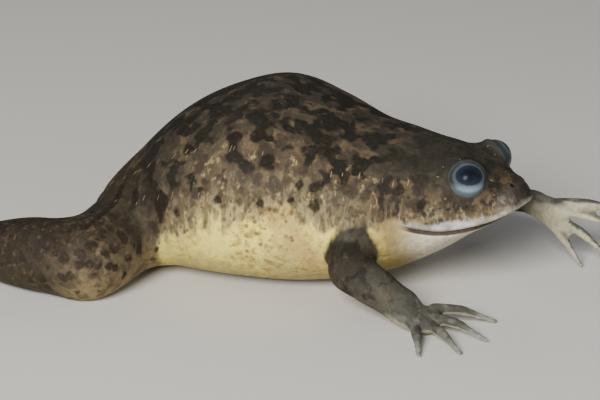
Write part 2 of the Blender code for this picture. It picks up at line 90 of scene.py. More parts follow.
print("soft step at a quarter:", blend(0, 1, 0.25), "bell one width off:", bell(1, 0, 1).round(3))


# %% [markdown]
# ## Head and trunk
#
# The real body is a smooth, slightly flattened pear with a small flat head. Each cross-section
# is a superellipse in two halves, an upper one from the widest line to the back and a lower
# one down to the belly. Sizes are in millimetres until the mesh is finished.

# %% The sections of head and trunk
# x, half width, height of the widest line, back, belly
BODY = np.array([
    (-52.6, 0.0, 6.8, 6.8, 6.8),
    (-51.4, 4.4, 7.0, 9.0, 4.2),
    (-48.2, 9.8, 7.6, 12.4, 2.2),
    (-43.0, 16.5, 9.4, 15.6, 0.8),
    (-36.0, 24.0, 12.4, 25.4, 0.0),
    (-26.0, 29.5, 15.2, 35.4, -0.8),
    (-15.0, 31.6, 17.2, 41.4, -1.2),
    (-4.0, 31.4, 18.4, 44.3, -1.2),
    (8.0, 28.6, 18.6, 41.3, -0.8),
    (19.0, 24.4, 19.2, 37.4, 0.8),
    (28.0, 20.8, 19.8, 36.1, 3.4),
    (35.0, 17.6, 19.8, 35.2, 7.0),
    (42.0, 15.0, 19.2, 34.5, 11.4),
    (48.0, 12.6, 19.8, 32.1, 15.9),
    (53.0, 9.6, 21.2, 30.0, 19.2),
    (56.6, 6.6, 23.0, 28.1, 21.2),
    (58.8, 3.2, 24.2, 26.6, 22.6),
    (59.7, 0.0, 25.0, 25.0, 25.0),
])
ROUND_ABOVE, ROUND_BELOW = 2.15, 2.3
BODY_RINGS, BODY_SIDES = 150, 96
profile = smooth_path(BODY, 400)
print("profile of", len(profile), "places along the body")


# %% Rings round the body
def section(x):
    """Half width, widest line, back and belly at x, each read off the smooth profile."""
    return [np.interp(x, profile[:, 0], profile[:, k]) for k in range(1, 5)]


def body_surface(rows, sides):
    """The ring at x, for angles a: y = w |cos a|^(2/n), z = level + rise |sin a|^(2/n), each
    with the sign of its cosine or sine. Rings crowd towards both ends by a cosine."""
    t = np.linspace(0, 1, rows + 2)[1:-1]
    x = BODY[0, 0] + (BODY[-1, 0] - BODY[0, 0]) * (1 - np.cos(np.pi * t)) / 2
    width, level, back, belly = (v[:, None] for v in section(x))
    a = np.linspace(0, 2 * np.pi, sides, endpoint=False)[None]
    upper = np.sin(a) >= 0
    power = 2 / np.where(upper, ROUND_ABOVE, ROUND_BELOW)
    y = np.sign(np.cos(a)) * np.abs(np.cos(a)) ** power * width
    rise = np.where(upper, back - level, level - belly)
    z = level + np.sign(np.sin(a)) * np.abs(np.sin(a)) ** power * rise
    rings = np.stack([np.broadcast_to(x[:, None], y.shape), y, z], axis=2)
    # The half width is 0 at both ends, so the first three numbers there are a point.
    rump_point, snout_point = BODY[0, :3], BODY[-1, :3]
    return rings, rump_point, snout_point


body_form = body_surface(BODY_RINGS, BODY_SIDES)
print("body rings", body_form[0].shape[:2], "snout at", body_form[2])

# %% [markdown]
# ## Arms, legs and digits
#
# A limb is an oval tube along a path, closed by a half round at each end. The same few lines
# serve a thigh and a fingertip, so every joint is just two tubes that overlap. The first number
# of each limb is the radius of the fillet where it grows out of its neighbour.

# %% The stations of the limbs: x, y, z, half width, half height
LIMBS = {
    "right upper arm": (8.0, [(24.0, -9.0, 18.6, 4.8, 5.2), (24.8, -18.6, 15.4, 4.5, 4.8),
                              (26.0, -24.6, 11.2, 4.6, 4.9)]),
    "right forearm": (4.0, [(27.2, -25.2, 10.2, 4.6, 4.8), (33.2, -27.2, 8.4, 4.4, 4.6),
                            (39.6, -27.2, 5.2, 3.8, 3.6)]),
    "right palm": (2.4, [(38.8, -27.2, 5.4, 3.7, 3.5), (42.4, -27.6, 3.6, 4.9, 2.9),
                         (45.6, -27.0, 2.2, 4.7, 2.1)]),
    "left upper arm": (7.5, [(25.0, 9.0, 17.4, 5.2, 5.4), (27.0, 20.0, 15.6, 5.2, 5.2),
                             (32.4, 31.6, 11.6, 4.8, 4.8)]),
    "left forearm": (4.0, [(32.8, 32.0, 11.4, 4.4, 4.4), (42.6, 28.8, 13.0, 3.6, 3.7),
                           (53.0, 23.6, 14.6, 2.4, 2.5)]),
    "left palm": (2.4, [(52.4, 23.9, 14.5, 2.3, 2.5), (56.0, 22.4, 13.9, 2.2, 3.4),
                        (58.6, 22.2, 13.2, 1.8, 3.2)]),
    "right thigh": (6.5, [(-32.6, -8.0, 11.4, 9.6, 9.4), (-31.6, -24.0, 10.2, 9.8, 9.7),
                          (-31.6, -34.5, 9.3, 9.7, 9.4), (-32.2, -40.2, 8.8, 8.9, 8.8)]),
    "right shank": (5.0, [(-33.4, -41.2, 8.6, 8.2, 8.5), (-45.0, -42.0, 8.5, 8.4, 8.6),
                          (-56.5, -40.2, 6.8, 7.0, 7.0), (-68.0, -37.6, 5.0, 4.4, 4.6)]),
    "right tarsus": (3.0, [(-67.0, -38.2, 4.8, 4.3, 4.3), (-73.6, -45.0, 3.9, 3.8, 3.6),
                           (-80.0, -53.6, 2.8, 4.4, 2.6)]),
    "left thigh": (6.5, [(-33.0, 8.0, 11.8, 9.8, 9.8), (-25.0, 22.0, 10.9, 10.4, 10.2),
                         (-15.0, 34.0, 10.0, 9.8, 9.7), (-9.4, 39.6, 9.2, 8.4, 8.8)]),
    "left shank": (5.0, [(-10.4, 40.8, 8.2, 7.6, 7.8), (-21.0, 45.4, 8.2, 7.8, 8.2),
                         (-31.0, 48.6, 7.2, 6.8, 7.0), (-43.0, 50.6, 5.0, 4.4, 4.6)]),
    "left tarsus": (3.0, [(-42.6, 51.4, 4.8, 4.2, 4.2), (-39.6, 57.6, 3.8, 3.8, 3.4),
                          (-35.0, 64.0, 2.8, 4.4, 2.6)]),
}
print(len(LIMBS), "limb segments")

# %% [markdown]
# A tube is a stack of oval rings set square to its path. A few smaller rings past each end,
# placed on a quarter circle, close it with a half round, so that two tubes which meet at an
# elbow or a knee overlap in a smooth ball.

# %% An oval tube with rounded ends
UPWARD = np.array((0, 0, 1.0))
END_TURNS = np.radians([18, 36, 54, 70, 82])


def tube(stations, rows, sides):
    """Rings square to a smooth path: centre + w cos(a) level + h sin(a) upright. Past both ends,
    rings of half rounds: moved on by r sin(b) and shrunk by cos(b) for b up to 90 degrees."""
    line = smooth_path(stations, rows)
    centre, half = line[:, :3], line[:, 3:]
    heading = np.gradient(centre, axis=0)
    heading /= np.linalg.norm(heading, axis=1)[:, None]
    first, last = half[0].mean(), half[-1].mean()
    ends = centre[0] - heading[0] * first, centre[-1] + heading[-1] * last
    before, after, count = END_TURNS[::-1, None], END_TURNS[:, None], len(END_TURNS)
    centre = np.vstack([
        centre[0] - heading[0] * (first * np.sin(before)),
        centre,
        centre[-1] + heading[-1] * (last * np.sin(after)),
    ])
    half = np.vstack([half[0] * np.cos(before), half, half[-1] * np.cos(after)])
    heading = np.vstack([heading[:1].repeat(count, 0), heading, heading[-1:].repeat(count, 0)])
    level = np.cross(heading, UPWARD)
    level /= np.linalg.norm(level, axis=1)[:, None]
    upright = np.cross(level, heading)
    a = np.linspace(0, 2 * np.pi, sides, endpoint=False)[None, :, None]
    rings = centre[:, None] + np.cos(a) * (level * half[:, :1])[:, None]
    rings = rings + np.sin(a) * (upright * half[:, 1:])[:, None]
    return rings, *ends


tubes = {}


def add_tube(name, fillet, stations, rows, sides, samples):
    """Keeps the radius of a tube's fillet, its rings, and samples to measure distances from."""
    tubes[name] = (fillet, tube(stations, rows, sides), smooth_path(stations, samples))


# Rings, sides and samples
LIMB_DETAIL = (40, 40, 26)
for name, (fillet, stations) in LIMBS.items():
    add_tube(name, fillet, stations, *LIMB_DETAIL)
print(len(tubes), "tubes")

# %% [markdown]
# The fingers are long, thin and bare. They are stated one by one, by where each leaves the palm
# and where its tip is, because the right hand lies spread and the left one reaches forward. The
# toes are a fan: each has a length and an angle to the foot's heading.

# %% Where fingers and toes begin and end
FINGERS = {
    "right": ([(46.2, -23.4, 4.0), (47.4, -26.0, 2.9), (46.8, -29.0, 2.5), (44.6, -30.8, 2.3)],
              [(58.4, -17.0, 0.7), (60.2, -27.8, 0.7), (57.4, -36.6, 0.7), (49.8, -41.4, 0.7)]),
    "left": ([(57.6, 22.8, 15.4), (58.6, 22.5, 13.9), (58.8, 22.2, 12.3), (57.2, 21.8, 11.2)],
             [(76.0, 25.0, 15.4), (76.0, 23.4, 11.2), (71.6, 27.6, 1.6), (65.4, 23.0, 0.6)]),
}
# Root of the foot, its heading in degrees, and the side of the frog: -1 right, 1 left
FEET = {"right": ((-79.2, -52.6, 2.4), 236.0, -1), "left": ((-35.6, 63.2, 2.4), 37.0, 1)}
# Length and angle of each toe, the inner one first, and the height of the tips
TOES = [(20.0, 40.0), (26.0, 22.0), (33.0, 3.0), (40.0, -17.0), (36.0, -37.0)]
TOE_TIP = 0.95


def toe_ends(foot):
    """Root and tip of each toe: a fan of angles round the foot's heading, seen from above."""
    root, heading, side = FEET[foot]
    lengths, spread = np.array(TOES).T
    turn = np.radians(heading - side * spread)
    reach = np.column_stack([np.cos(turn), np.sin(turn), np.zeros(len(TOES))])
    tips = np.array(root) + reach * lengths[:, None]
    tips[:, 2] = TOE_TIP
    return np.array(root) + reach, tips


print("toe tips of the right foot", toe_ends("right")[1].round(1).tolist())

# %% A digit with its knuckles
JOINTS = np.array([0.0, 0.22, 0.45, 0.62, 0.8, 1.0])
ARCH_AT_JOINTS = np.array([0.0, 0.6, 1.0, 0.8, 0.4, 0.0])
KNUCKLES = np.array([1.0, 0.97, 1.05, 0.97, 1.04, 0.97])
FINGER_RADII, FINGER_ARCH, FINGER_FILLET = (1.35, 1.15, 0.65), 0.9, 1.3
TOE_RADII, TOE_ARCH, TOE_FILLET = (1.7, 1.35, 0.95), 0.5, 1.4
FINGER_DETAIL, TOE_DETAIL = (44, 20, 30), (60, 20, 40)


def digit_stations(root, tip, radii, arch):
    """A digit's path rises by arch over the middle joint, with a slight knuckle there."""
    root, tip = np.asarray(root, float), np.asarray(tip, float)
    places = root + (tip - root) * JOINTS[:, None] + (ARCH_AT_JOINTS * arch)[:, None] * UPWARD
    thick, middle, thin = radii
    radius = np.interp(JOINTS, (0, 0.45, 0.8, 1), (thick, middle, thin * 1.1, thin)) * KNUCKLES
    return np.column_stack([places, radius, radius])


for side, (roots, tips) in FINGERS.items():
    for k, (root, tip) in enumerate(zip(roots, tips)):
        stations = digit_stations(root, tip, FINGER_RADII, FINGER_ARCH)
        add_tube(f"{side} finger {k + 1}", FINGER_FILLET, stations, *FINGER_DETAIL)
for side in FEET:
    for k, (root, tip) in enumerate(zip(*toe_ends(side))):
        stations = digit_stations(root, tip, TOE_RADII, TOE_ARCH)
        add_tube(f"{side} toe {k + 1}", TOE_FILLET, stations, *TOE_DETAIL)
print(len(tubes), "tubes")

# %% [markdown]
# Two small lobes beside the vent mark an adult female. The eyes sit in low round mounds of skin
# that look outwards and a little up, so each mound is a short tube along its own axis.

# %% The lobes of the vent and the mounds of the eyes
VENT_LOBES = [(-50.8, -1.9, 5.6), (-50.8, 1.9, 5.6)]
LOBE_FILLET, LOBE_DETAIL = 1.6, (6, 24, 4)
EYE = np.array((47.6, 8.6, 29.7))
EYE_AXIS = np.array((0.42, 0.71, 0.565))
EYE_RADIUS = 4.3
RIM_AXIS = np.array((0.52, 0.81, 0.27))
MOUND_RADIUS, MOUND_FILLET, MOUND_DETAIL = 4.6, 2.6, (4, 40, 3)

for k, (x, y, z) in enumerate(VENT_LOBES):
    stations = [(x, y, z, 2.3, 2.3), (x - 0.6, y, z - 0.4, 2.2, 2.2)]
    add_tube(f"vent lobe {k + 1}", LOBE_FILLET, stations, *LOBE_DETAIL)
for side in (-1, 1):
    middle = (EYE - 0.35 * RIM_AXIS) * np.array((1, side, 1))
    deeper = middle - 1.2 * RIM_AXIS * np.array((1, side, 1))
    stations = [(*deeper, MOUND_RADIUS, MOUND_RADIUS), (*middle, MOUND_RADIUS, MOUND_RADIUS)]
    add_tube(f"eye mound {side}", MOUND_FILLET, stations, *MOUND_DETAIL)
print(len(tubes), "tubes")

# %% [markdown]
# ## One skin
#
# A real frog has no seam where a leg begins. The tubes and the body are put in one mesh and
# remeshed on a fine grid, which melts them together. Booleans would also join them, but leave
# long thin faces along each join that don't smooth well.


# %% Rings to a closed mesh
def linked(name, data):
    """A new object for a mesh, a light or a camera, put into the scene."""
    made = bpy.data.objects.new(name, data)
    bpy.context.scene.collection.objects.link(made)
    return made


def new_piece(name, points, faces):
    """A mesh object from an array of points and a list of faces."""
    mesh = bpy.data.meshes.new(name)
    mesh.from_pydata(points.reshape(-1, 3).tolist(), [], faces)
    return linked(name, mesh)


def ring_faces(rows, sides, offset):
    """Quads between neighbouring rings, and a fan at each end. Point 0 and the last are poles."""
    r, s = np.meshgrid(np.arange(rows - 1), np.arange(sides), indexing="ij")
    a = offset + 1 + r * sides + s
    b = offset + 1 + r * sides + (s + 1) % sides
    quads = np.stack([a, b, b + sides, a + sides], axis=2).reshape(-1, 4)
    k = np.arange(sides)
    n = (k + 1) % sides
    first, last, top = offset, offset + rows * sides + 1, offset + 1 + (rows - 1) * sides
    caps = np.vstack([
        np.column_stack([np.full(sides, first), offset + 1 + n, offset + 1 + k]),
        np.column_stack([np.full(sides, last), top + k, top + n]),
    ])
    return quads, caps


def mesh_of(name, forms):
    """One mesh from several closed forms, each given as rings with a pole at both ends."""
    points, faces, offset = [], [], 0
    for rings, start, end in forms:
        rows, sides = rings.shape[:2]
        points.append(np.vstack([start[None], rings.reshape(-1, 3), end[None]]))
        quads, caps = ring_faces(rows, sides, offset)
        faces += quads.tolist() + caps.tolist()
        offset += rows * sides + 2
    made = new_piece(name, np.vstack(points), faces)
    shape = bmesh.new()
    shape.from_mesh(made.data)
    bmesh.ops.recalc_face_normals(shape, faces=shape.faces)
    shape.to_mesh(made.data)
    shape.free()
    return made


print("faces round 3 rings of 4 sides:", [len(part) for part in ring_faces(3, 4, 0)])


# %% Melt the forms together on a fine grid
def baked(obj):
    """The object's mesh with its modifiers applied, left in place of the old one."""
    bpy.context.view_layer.update()
    graph = bpy.context.evaluated_depsgraph_get()
    mesh = bpy.data.meshes.new_from_object(obj.evaluated_get(graph))
    obj.modifiers.clear()
    obj.data = mesh


GRID = 0.8
skin = mesh_of("skin", [body_form] + [form for _, form, _ in tubes.values()])
melt = skin.modifiers.new("melt", "REMESH")
melt.mode = "VOXEL"
melt.voxel_size = GRID
baked(skin)
print("melted skin", len(skin.data.polygons), "faces")

# %% [markdown]
# The grid is even, but the detail isn't: lips, eyes and fingertips need smaller faces than the
# belly does. Splitting the faces only there keeps the whole skin light.


# %% Give the head, hands and feet four faces for one
def near_fine_parts(points):
    """Where detail is small: the head past the neck, the hands and the ends of the feet."""
    x, y, z = points.T
    head = (x > 31.0) & (np.abs(y) < 19.0) & (z > 6.0)
    hands = (x > 41.0) & (np.abs(y) > 15.5) & (z < 17.5)
    feet = (x < -78.0) | (y > 61.0)
    return head | hands | feet


shape = bmesh.new()
shape.from_mesh(skin.data)
wanted = near_fine_parts(np.array([f.calc_center_median() for f in shape.faces]))
edges = list({e for f, w in zip(shape.faces, wanted) if w for e in f.edges})
bmesh.ops.subdivide_edges(shape, edges=edges, cuts=1, use_grid_fill=True)
shape.to_mesh(skin.data)
shape.free()
print("with finer head and digits", len(skin.data.polygons), "faces")

# %% [markdown]
# Remeshing leaves tiny steps. Plain smoothing takes them out but shrinks thin fingers. Moving
# each point towards its neighbours and then slightly further back keeps the volume.


# %% Smooth away the steps of the grid without shrinking
def read(mesh, field, width):
    """A mesh's points or normals as an array."""
    values = np.zeros(len(mesh.vertices) * width)
    mesh.vertices.foreach_get(field, values)
    return values.reshape(-1, width)


def neighbour_mean(points, edges):
    """Each point's neighbours, averaged: sums over edges both ways, divided by their number."""
    ends = np.concatenate([edges[:, 0], edges[:, 1]])
    others = np.concatenate([edges[:, 1], edges[:, 0]])
    number = np.bincount(ends, minlength=len(points))[:, None]
    sums = [np.bincount(ends, points[others, k], len(points)) for k in range(points.shape[1])]
    return np.column_stack(sums) / number


def relax(points, edges, rounds, shrink=0.5, grow=-0.53):
    """A step towards the neighbours' mean, then a slightly larger one away from it, which takes
    out small steps and keeps the volume."""
    for _ in range(rounds):
        for pull in (shrink, grow):
            points = points + pull * (neighbour_mean(points, edges) - points)
    return points


edges = np.zeros(len(skin.data.edges) * 2, int)
skin.data.edges.foreach_get("vertices", edges)
edges = edges.reshape(-1, 2)
points = relax(read(skin.data, "co", 3), edges, rounds=4)
print("smoothed", len(points), "points")

# %% [markdown]
# Where two forms melted together there is still a sharp crease. A sculptor would press clay
# into it. Here a point near two forms is pushed out, most where it is as near to one as to the
# other, which is how a smooth minimum of two distances rounds a corner. So the first thing
# needed is how far each point is from every form.


# %% Distances from every point to the body and to each tube
def body_distance(p):
    """Distance in the cross-section's plane: with q the superellipse's size through the point,
    it is the distance from the section's middle times (1 - 1 / q)."""
    width, level, back, belly = section(np.clip(p[:, 0], BODY[0, 0] + 0.1, BODY[-1, 0] - 0.1))
    up = p[:, 2] >= level
    power = np.where(up, ROUND_ABOVE, ROUND_BELOW)
    rise = np.maximum(np.where(up, back - level, level - belly), 0.1)
    q = np.abs(p[:, 1]) / np.maximum(width, 0.1)
    q = (q**power + (np.abs(p[:, 2] - level) / rise) ** power) ** (1 / power)
    return np.hypot(p[:, 1], p[:, 2] - level) * (1 - 1 / np.maximum(q, 0.05))


def tube_distance(p, samples):
    """The least of |p - centre| - radius over the samples of a path."""
    nearest = np.full(len(p), 1e3)
    for x, y, z, wide, high in samples:
        away = np.sqrt((p[:, 0] - x) ** 2 + (p[:, 1] - y) ** 2 + (p[:, 2] - z) ** 2)
        nearest = np.minimum(nearest, away - (wide + high) / 2)
    return nearest


BODY_FILLET = 9.0
names = ["body"] + list(tubes)
fillets = np.array([BODY_FILLET] + [fillet for fillet, _, _ in tubes.values()])
to_tubes = [tube_distance(points, samples) for _, _, samples in tubes.values()]
distances = np.array([body_distance(points)] + to_tubes)
print("distances to", len(names), "forms for", len(points), "points")


# %% Fill the creases between neighbouring forms
def normals_of(points):
    """The mesh's normals once its points are moved."""
    skin.data.vertices.foreach_set("co", points.ravel())
    skin.data.update()
    return read(skin.data, "normal", 3)


NORMAL_ROUNDS, CREASE_ROUNDS = 6, 14
nearest_two = np.argsort(distances, axis=0)[:2]
picked = np.take_along_axis(distances, nearest_two, axis=0)
size = fillets[nearest_two].min(axis=0)
crease = np.maximum(size - np.abs(picked[1] - picked[0]), 0) / size
crease *= blend(-0.55, -0.1, -np.abs(picked[0]) / size)
push = crease**2 * size / 4
normals = normals_of(points)
for _ in range(NORMAL_ROUNDS):
    normals = neighbour_mean(normals, edges)
normals /= np.linalg.norm(normals, axis=1)[:, None]
points = points + normals * push[:, None]
softness = np.minimum(crease * 1.5, 1)[:, None]
for _ in range(CREASE_ROUNDS):
    points = points + 0.6 * softness * (neighbour_mean(points, edges) - points)
points = relax(points, edges, rounds=2)
print("deepest fillet", round(float(push.max()), 2), "mm")

# %% [markdown]
# ## Lips and nostrils
#
# Small forms are moves along the skin's own normal, in millimetres: a bead of lip over a groove
# for the mouth, and two pits with low rims for the nostrils. Each move is a formula of where
# the point is, here a bell over its height above the line between the jaws.

# %% Where the mouth and the nostrils are
# x and height of the line between the jaws
MOUTH_LINE = np.array([
    (25.0, 20.6), (32.0, 20.6), (35.4, 19.9), (38.6, 19.1), (42.0, 18.7), (45.0, 18.8),
    (48.0, 19.3), (51.2, 20.0), (54.1, 20.9), (57.0, 22.1), (59.0, 23.4), (66.0, 25.6),
])
NOSTRIL = np.array((56.4, 2.8, 27.9))


def to_left(p):
    """Factors that carry each point over to the frog's left half: -1 for y on the right."""
    return np.where(p[:, 1:2] < 0, (1, -1, 1), (1, 1, 1))


on_body = blend(-0.6, 0.6, distances[1:].min(axis=0) - distances[0])
jaw = points[:, 2] - np.interp(points[:, 0], MOUTH_LINE[:, 0], MOUTH_LINE[:, 1])
nostril_distance = np.linalg.norm(points * to_left(points) - NOSTRIL, axis=1)
in_mouth = blend(34.5, 37.5, points[:, 0]) * on_body
print("points on the head's mouth line", int((in_mouth * (np.abs(jaw) < 1) > 0.5).sum()))

# %% Move the skin along its normals
groove = -0.55 * in_mouth * bell(jaw, -0.35, 0.36)
lip = 0.42 * in_mouth * bell(jaw, 0.8, 0.75)
under_lip = 0.15 * in_mouth * bell(jaw, -1.4, 0.7)
nostril = 0.28 * bell(nostril_distance, 0.75, 0.4) - 0.7 * bell(nostril_distance, 0.0, 0.42)
points = points + normals_of(points) * (groove + lip + under_lip + nostril)[:, None]
print("lip", round(float(lip.max()), 2), "mm, groove", round(float(groove.min()), 2), "mm")

# %% [markdown]
# ## Rims of the eyes
#
# The species has no movable lids: the skin of each mound ends in a round rim about the eyeball.
# Points near the eye are moved to a set distance from its centre, which depends on the angle
# from the mound's axis. That opens a clean hollow and rounds its edge in one step.

# %% Open a hollow for each eyeball
flip = to_left(points)
away = points * flip - EYE
eye_distance = np.linalg.norm(away, axis=1)
rim_axis = RIM_AXIS / np.linalg.norm(RIM_AXIS)
from_rim = np.degrees(np.arccos(np.clip(away @ rim_axis / eye_distance, -1, 1)))
socket = np.interp(from_rim, (0, 72, 77, 82, 88, 95), (3.5, 3.5, 4.00, 4.56, 4.68, 4.6))
hold = (1 - blend(4.8, 5.8, eye_distance)) * (1 - blend(90, 100, from_rim))
scale = 1 + hold * (socket / eye_distance - 1)
points = np.where(hold[:, None] > 0, (EYE + away * scale[:, None]) * flip, points)
print("points in the rims", int((hold > 0).sum()))

# %% [markdown]
# ## Folds
#
# Loose skin gathers where the thigh and the arm press into the flank, and in one fold across
# the throat. The pleats fan out from the joint, so they are waves of the angle round it, raised
# to a high power to make them narrow.


# %% Pleats at the groin and the armpit, and the fold of the throat
def folds(p, centre, reach, count, depth):
    """Radial pleats: a cosine of the angle round a centre, seen from the side, sharpened to
    narrow grooves and faded with distance."""
    away = p - np.asarray(centre)
    radius = np.linalg.norm(away, axis=1)
    angle = np.arctan2(away[:, 2], away[:, 0])
    wave = 0.5 + 0.5 * np.cos(count * angle + 1.6 * np.sin(2.3 * angle))
    near = blend(0.25 * reach, 0.5 * reach, radius) * blend(-reach, -0.6 * reach, -radius)
    return -depth * wave**6 * near


# Centre, reach, number of pleats round it, depth
PLEATS = [
    ((-32.0, -25.0, 8.0), 17.0, 13, 0.35),
    ((-24.0, 25.0, 8.0), 17.0, 13, 0.35),
    ((25.5, -20.0, 12.0), 10.0, 9, 0.2),
    ((27.0, 22.0, 13.0), 10.0, 9, 0.2),
]
pleats = np.zeros(len(points))
for centre, reach, count, depth in PLEATS:
    same_side = points[:, 1] * centre[1] > 0
    pleats += folds(points, centre, reach, count, depth) * same_side
pleats *= blend(0.05, 0.4, crease)
fold_line = points[:, 0] + 0.2 * np.abs(points[:, 1])
throat_fold = -0.35 * on_body * bell(fold_line, 27.5, 0.7) * blend(-14.0, -11.0, -points[:, 2])
points = points + normals_of(points) * (pleats + throat_fold)[:, None]
print("deepest pleat", round(float(-pleats.min()), 2), "mm")

# %% [markdown]
# A shallow furrow runs along each side of the back, with the swell of the hip below it. It is
# what catches a line of light there. It is drawn by a few places seen from above.

# %% A furrow along each side of the back
FURROW_X = (-30.0, -17.8, -10.6, -5.2, 4.5, 12.0, 22.0)
FURROW_Y = (6.0, 9.4, 13.3, 14.8, 14.9, 15.0, 13.0)
x, y, z = points.T
from_line = np.abs(y) - np.interp(x, FURROW_X, FURROW_Y)
furrow = -0.32 * bell(from_line, 0.0, 0.8) + 0.22 * bell(from_line, 2.4, 1.6)
furrow *= blend(24.0, 30.0, z) * blend(-26.0, -16.0, x)
furrow *= (1 - blend(8.0, 20.0, x)) * np.where(y < 0, 1.0, 0.45)
points = points + normals_of(points) * furrow[:, None]
print("deepest furrow", round(float(-furrow.min()), 2), "mm")

# %% [markdown]
# A soft belly goes flat where it rests. Points that would be under the floor are brought up to
# just above it, and that makes the flat.

# %% Rest on the floor
SKIN_CLEARANCE = 0.02
points[:, 2] = np.maximum(points[:, 2], SKIN_CLEARANCE)
final_normals = normals_of(points)
print("skin", len(skin.data.vertices), "points, lowest", round(float(points[:, 2].min()), 3), "mm")

# %% [markdown]
# ## What the skin knows about itself
#
# The colours change with the place on the animal: dark on the back, cream below, grey on the
# hands. Place is stored at each point as a smooth number, such as the height above the mouth
# line, and not as a finished mask, because smooth numbers stay exact between points and the
# material can then draw an edge finer than the mesh.


# %% Height between belly and back
def store(obj, name, values):
    """A number for each point of a mesh, as a named attribute."""
    layer = obj.data.attributes.new(name, "FLOAT", "POINT")
    layer.data.foreach_set("value", np.asarray(values, np.float32))


x, y, z = points.T
width, level, back, belly = section(np.clip(x, -52.0, 59.0))
rise = np.where(z >= level, back - level, level - belly)
height = np.clip((z - level) / np.maximum(rise, 0.5), -1.2, 1.2)
rump = blend(33.0, 47.0, -x) * np.clip(final_normals[:, 2] + 0.6, 0, 1)
face = blend(28.5, 34.0, x) * on_body
# The dark of the back comes further down at the shoulder, the groin and the rump, and the pale
# of the belly comes higher just ahead of the middle. At the groin the darker tone is partly
# painted shade.
to_shoulder = np.hypot((x - 28.5) / 6.5, (z - 22.0) / 5.0)
to_groin = np.hypot((x + 24.0) / 8.5, (z - 20.0) / 7.0)
lowered = 0.20 * np.exp(-(to_shoulder**2)) + 0.34 * np.exp(-(to_groin**2))
lowered += 0.09 * bell(x, -9.0, 9.0) + 0.35 * blend(16.0, 21.0, -x)
lowered -= 0.11 * bell(x, 11.0, 5.0)
lowered += 0.30 * blend(38.0, 50.0, -x)
store(skin, "height", height + 0.55 * rump + 0.22 * face + lowered)
store(skin, "up", final_normals[:, 2])
print("height from", round(float(height.min()), 2), "to", round(float(height.max()), 2))

# %% Measures of the head and the fingertips
finger_tips = np.vstack([tips for _, tips in FINGERS.values()])
for name, values in (
    ("jaw", jaw),
    ("face", face),
    ("mouth", in_mouth),
    ("eye_distance", eye_distance),
    ("nostril_distance", nostril_distance),
    ("tip", np.min([np.linalg.norm(points - t, axis=1) for t in finger_tips], axis=0)),
):
    store(skin, name, values)
print(len(finger_tips), "fingertips")

# %% [markdown]
# A few large dark spots stand clear of the rest on the flank, and in the groin are some upright
# bars. They are placed one by one, and the distance to the nearest is stored.

# %% Clear spots on the flank and bars in the groin
# x, z and radius
CLEAR_SPOTS = (
    (16.6, 28.1, 1.2), (17.3, 24.0, 1.1), (39.4, 24.9, 0.9), (-3.6, 24.5, 0.8), (5.8, 24.4, 0.7),
    (1.6, 37.4, 1.7), (-3.3, 37.0, 1.6), (5.5, 33.1, 1.5), (13.5, 28.3, 0.9), (-13.9, 19.9, 0.9),
    (-17.2, 22.4, 1.1), (22.4, 29.8, 1.3), (34.3, 27.7, 1.1), (-14.3, 33.1, 1.4), (-8.2, 26.1, 0.8),
    (12.1, 25.3, 0.7),
)
GROIN_BARS = ((-26.0, 21.0, 0.95), (-18.8, 20.6, 1.1), (-22.6, 26.6, 0.8), (-31.0, 20.0, 0.8))
# On the left they stand a little further back, so that the two sides aren't alike.
LEFT_SHIFT = 4.0

along = x + np.where(y < 0, 0.0, LEFT_SHIFT)
from_spots = [
    np.hypot(along - spot_x, (0.75 + 0.05 * max(spot_z - 24.0, 0.0)) * (z - spot_z)) - radius
    for spot_x, spot_z, radius in CLEAR_SPOTS
]
# A bar is a long spot that leans a little: its height counts for less.
from_bars = [
    np.hypot(along - bar_x + 0.12 * (z - bar_z), 0.30 * (z - bar_z)) - radius
    for bar_x, bar_z, radius in GROIN_BARS
]
store(skin, "spot", np.min(from_spots + from_bars, axis=0))
print(len(from_spots), "spots and", len(from_bars), "bars")

# %% [markdown]
# Legs, arms and digits are each coloured in their own way. For each group, what is stored is
# how much nearer a point is to it than to the rest of the frog: the border is at zero.

# %% How much a point belongs to legs, arms and digits
GROUPS = {
    "leg": ("thigh", "shank", "tarsus", "toe"),
    "arm": ("arm", "palm", "finger"),
    "digit": ("palm", "finger", "toe"),
}
for group, words in GROUPS.items():
    inside = np.array([any(word in name for word in words) for name in names])
    store(skin, group, distances[~inside].min(axis=0) - distances[inside].min(axis=0))
print("stored", [a.name for a in skin.data.attributes if a.data_type == "FLOAT"])

# %% [markdown]
# The finished skin goes back to metres, rides on the frame's root and stands for all the flesh
# solids, which it replaces. A search tree of it is kept, to lay small things on it later.


# %% Put the skin into the frame
def settle(obj, nodes=()):
    """Scales the mesh from millimetres to metres, shades it smooth and ties it to the solids."""
    coords = read(obj.data, "co", 3) * MM
    obj.data.vertices.foreach_set("co", coords.ravel())
    obj.data.update()
    obj.data.shade_smooth()
    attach(obj, "root")
    if nodes:
        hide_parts(*nodes)


flesh = [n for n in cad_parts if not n.startswith(("eye", "claw"))]
skin_tree = BVHTree.FromPolygons(
    [Vector(p) for p in points], [tuple(f.vertices) for f in skin.data.polygons]
)
settle(skin, flesh)
print("skin stands for", len(flesh), "nodes")

# %% [markdown]
# ## Eyes
#
# The eyes are small and look up and outwards. From the side the dark disc sits a little above
# the middle of a pale ring, which is widest below. An eyeball is a grid of rings round its own
# axis, with a slight bulge for the cornea. The UV Sphere primitive would do too, but its poles
# point up and down, and here the smallest faces are wanted where the eye looks.

# %% Two eyeballs
BALL_RADIUS = EYE_RADIUS * 0.985
CORNEA = 0.03


def square_to(axis):
    """Two directions square to an axis and to each other, the first of them level."""
    level = np.cross(axis, UPWARD)
    level /= np.linalg.norm(level)
    return level, np.cross(level, axis)


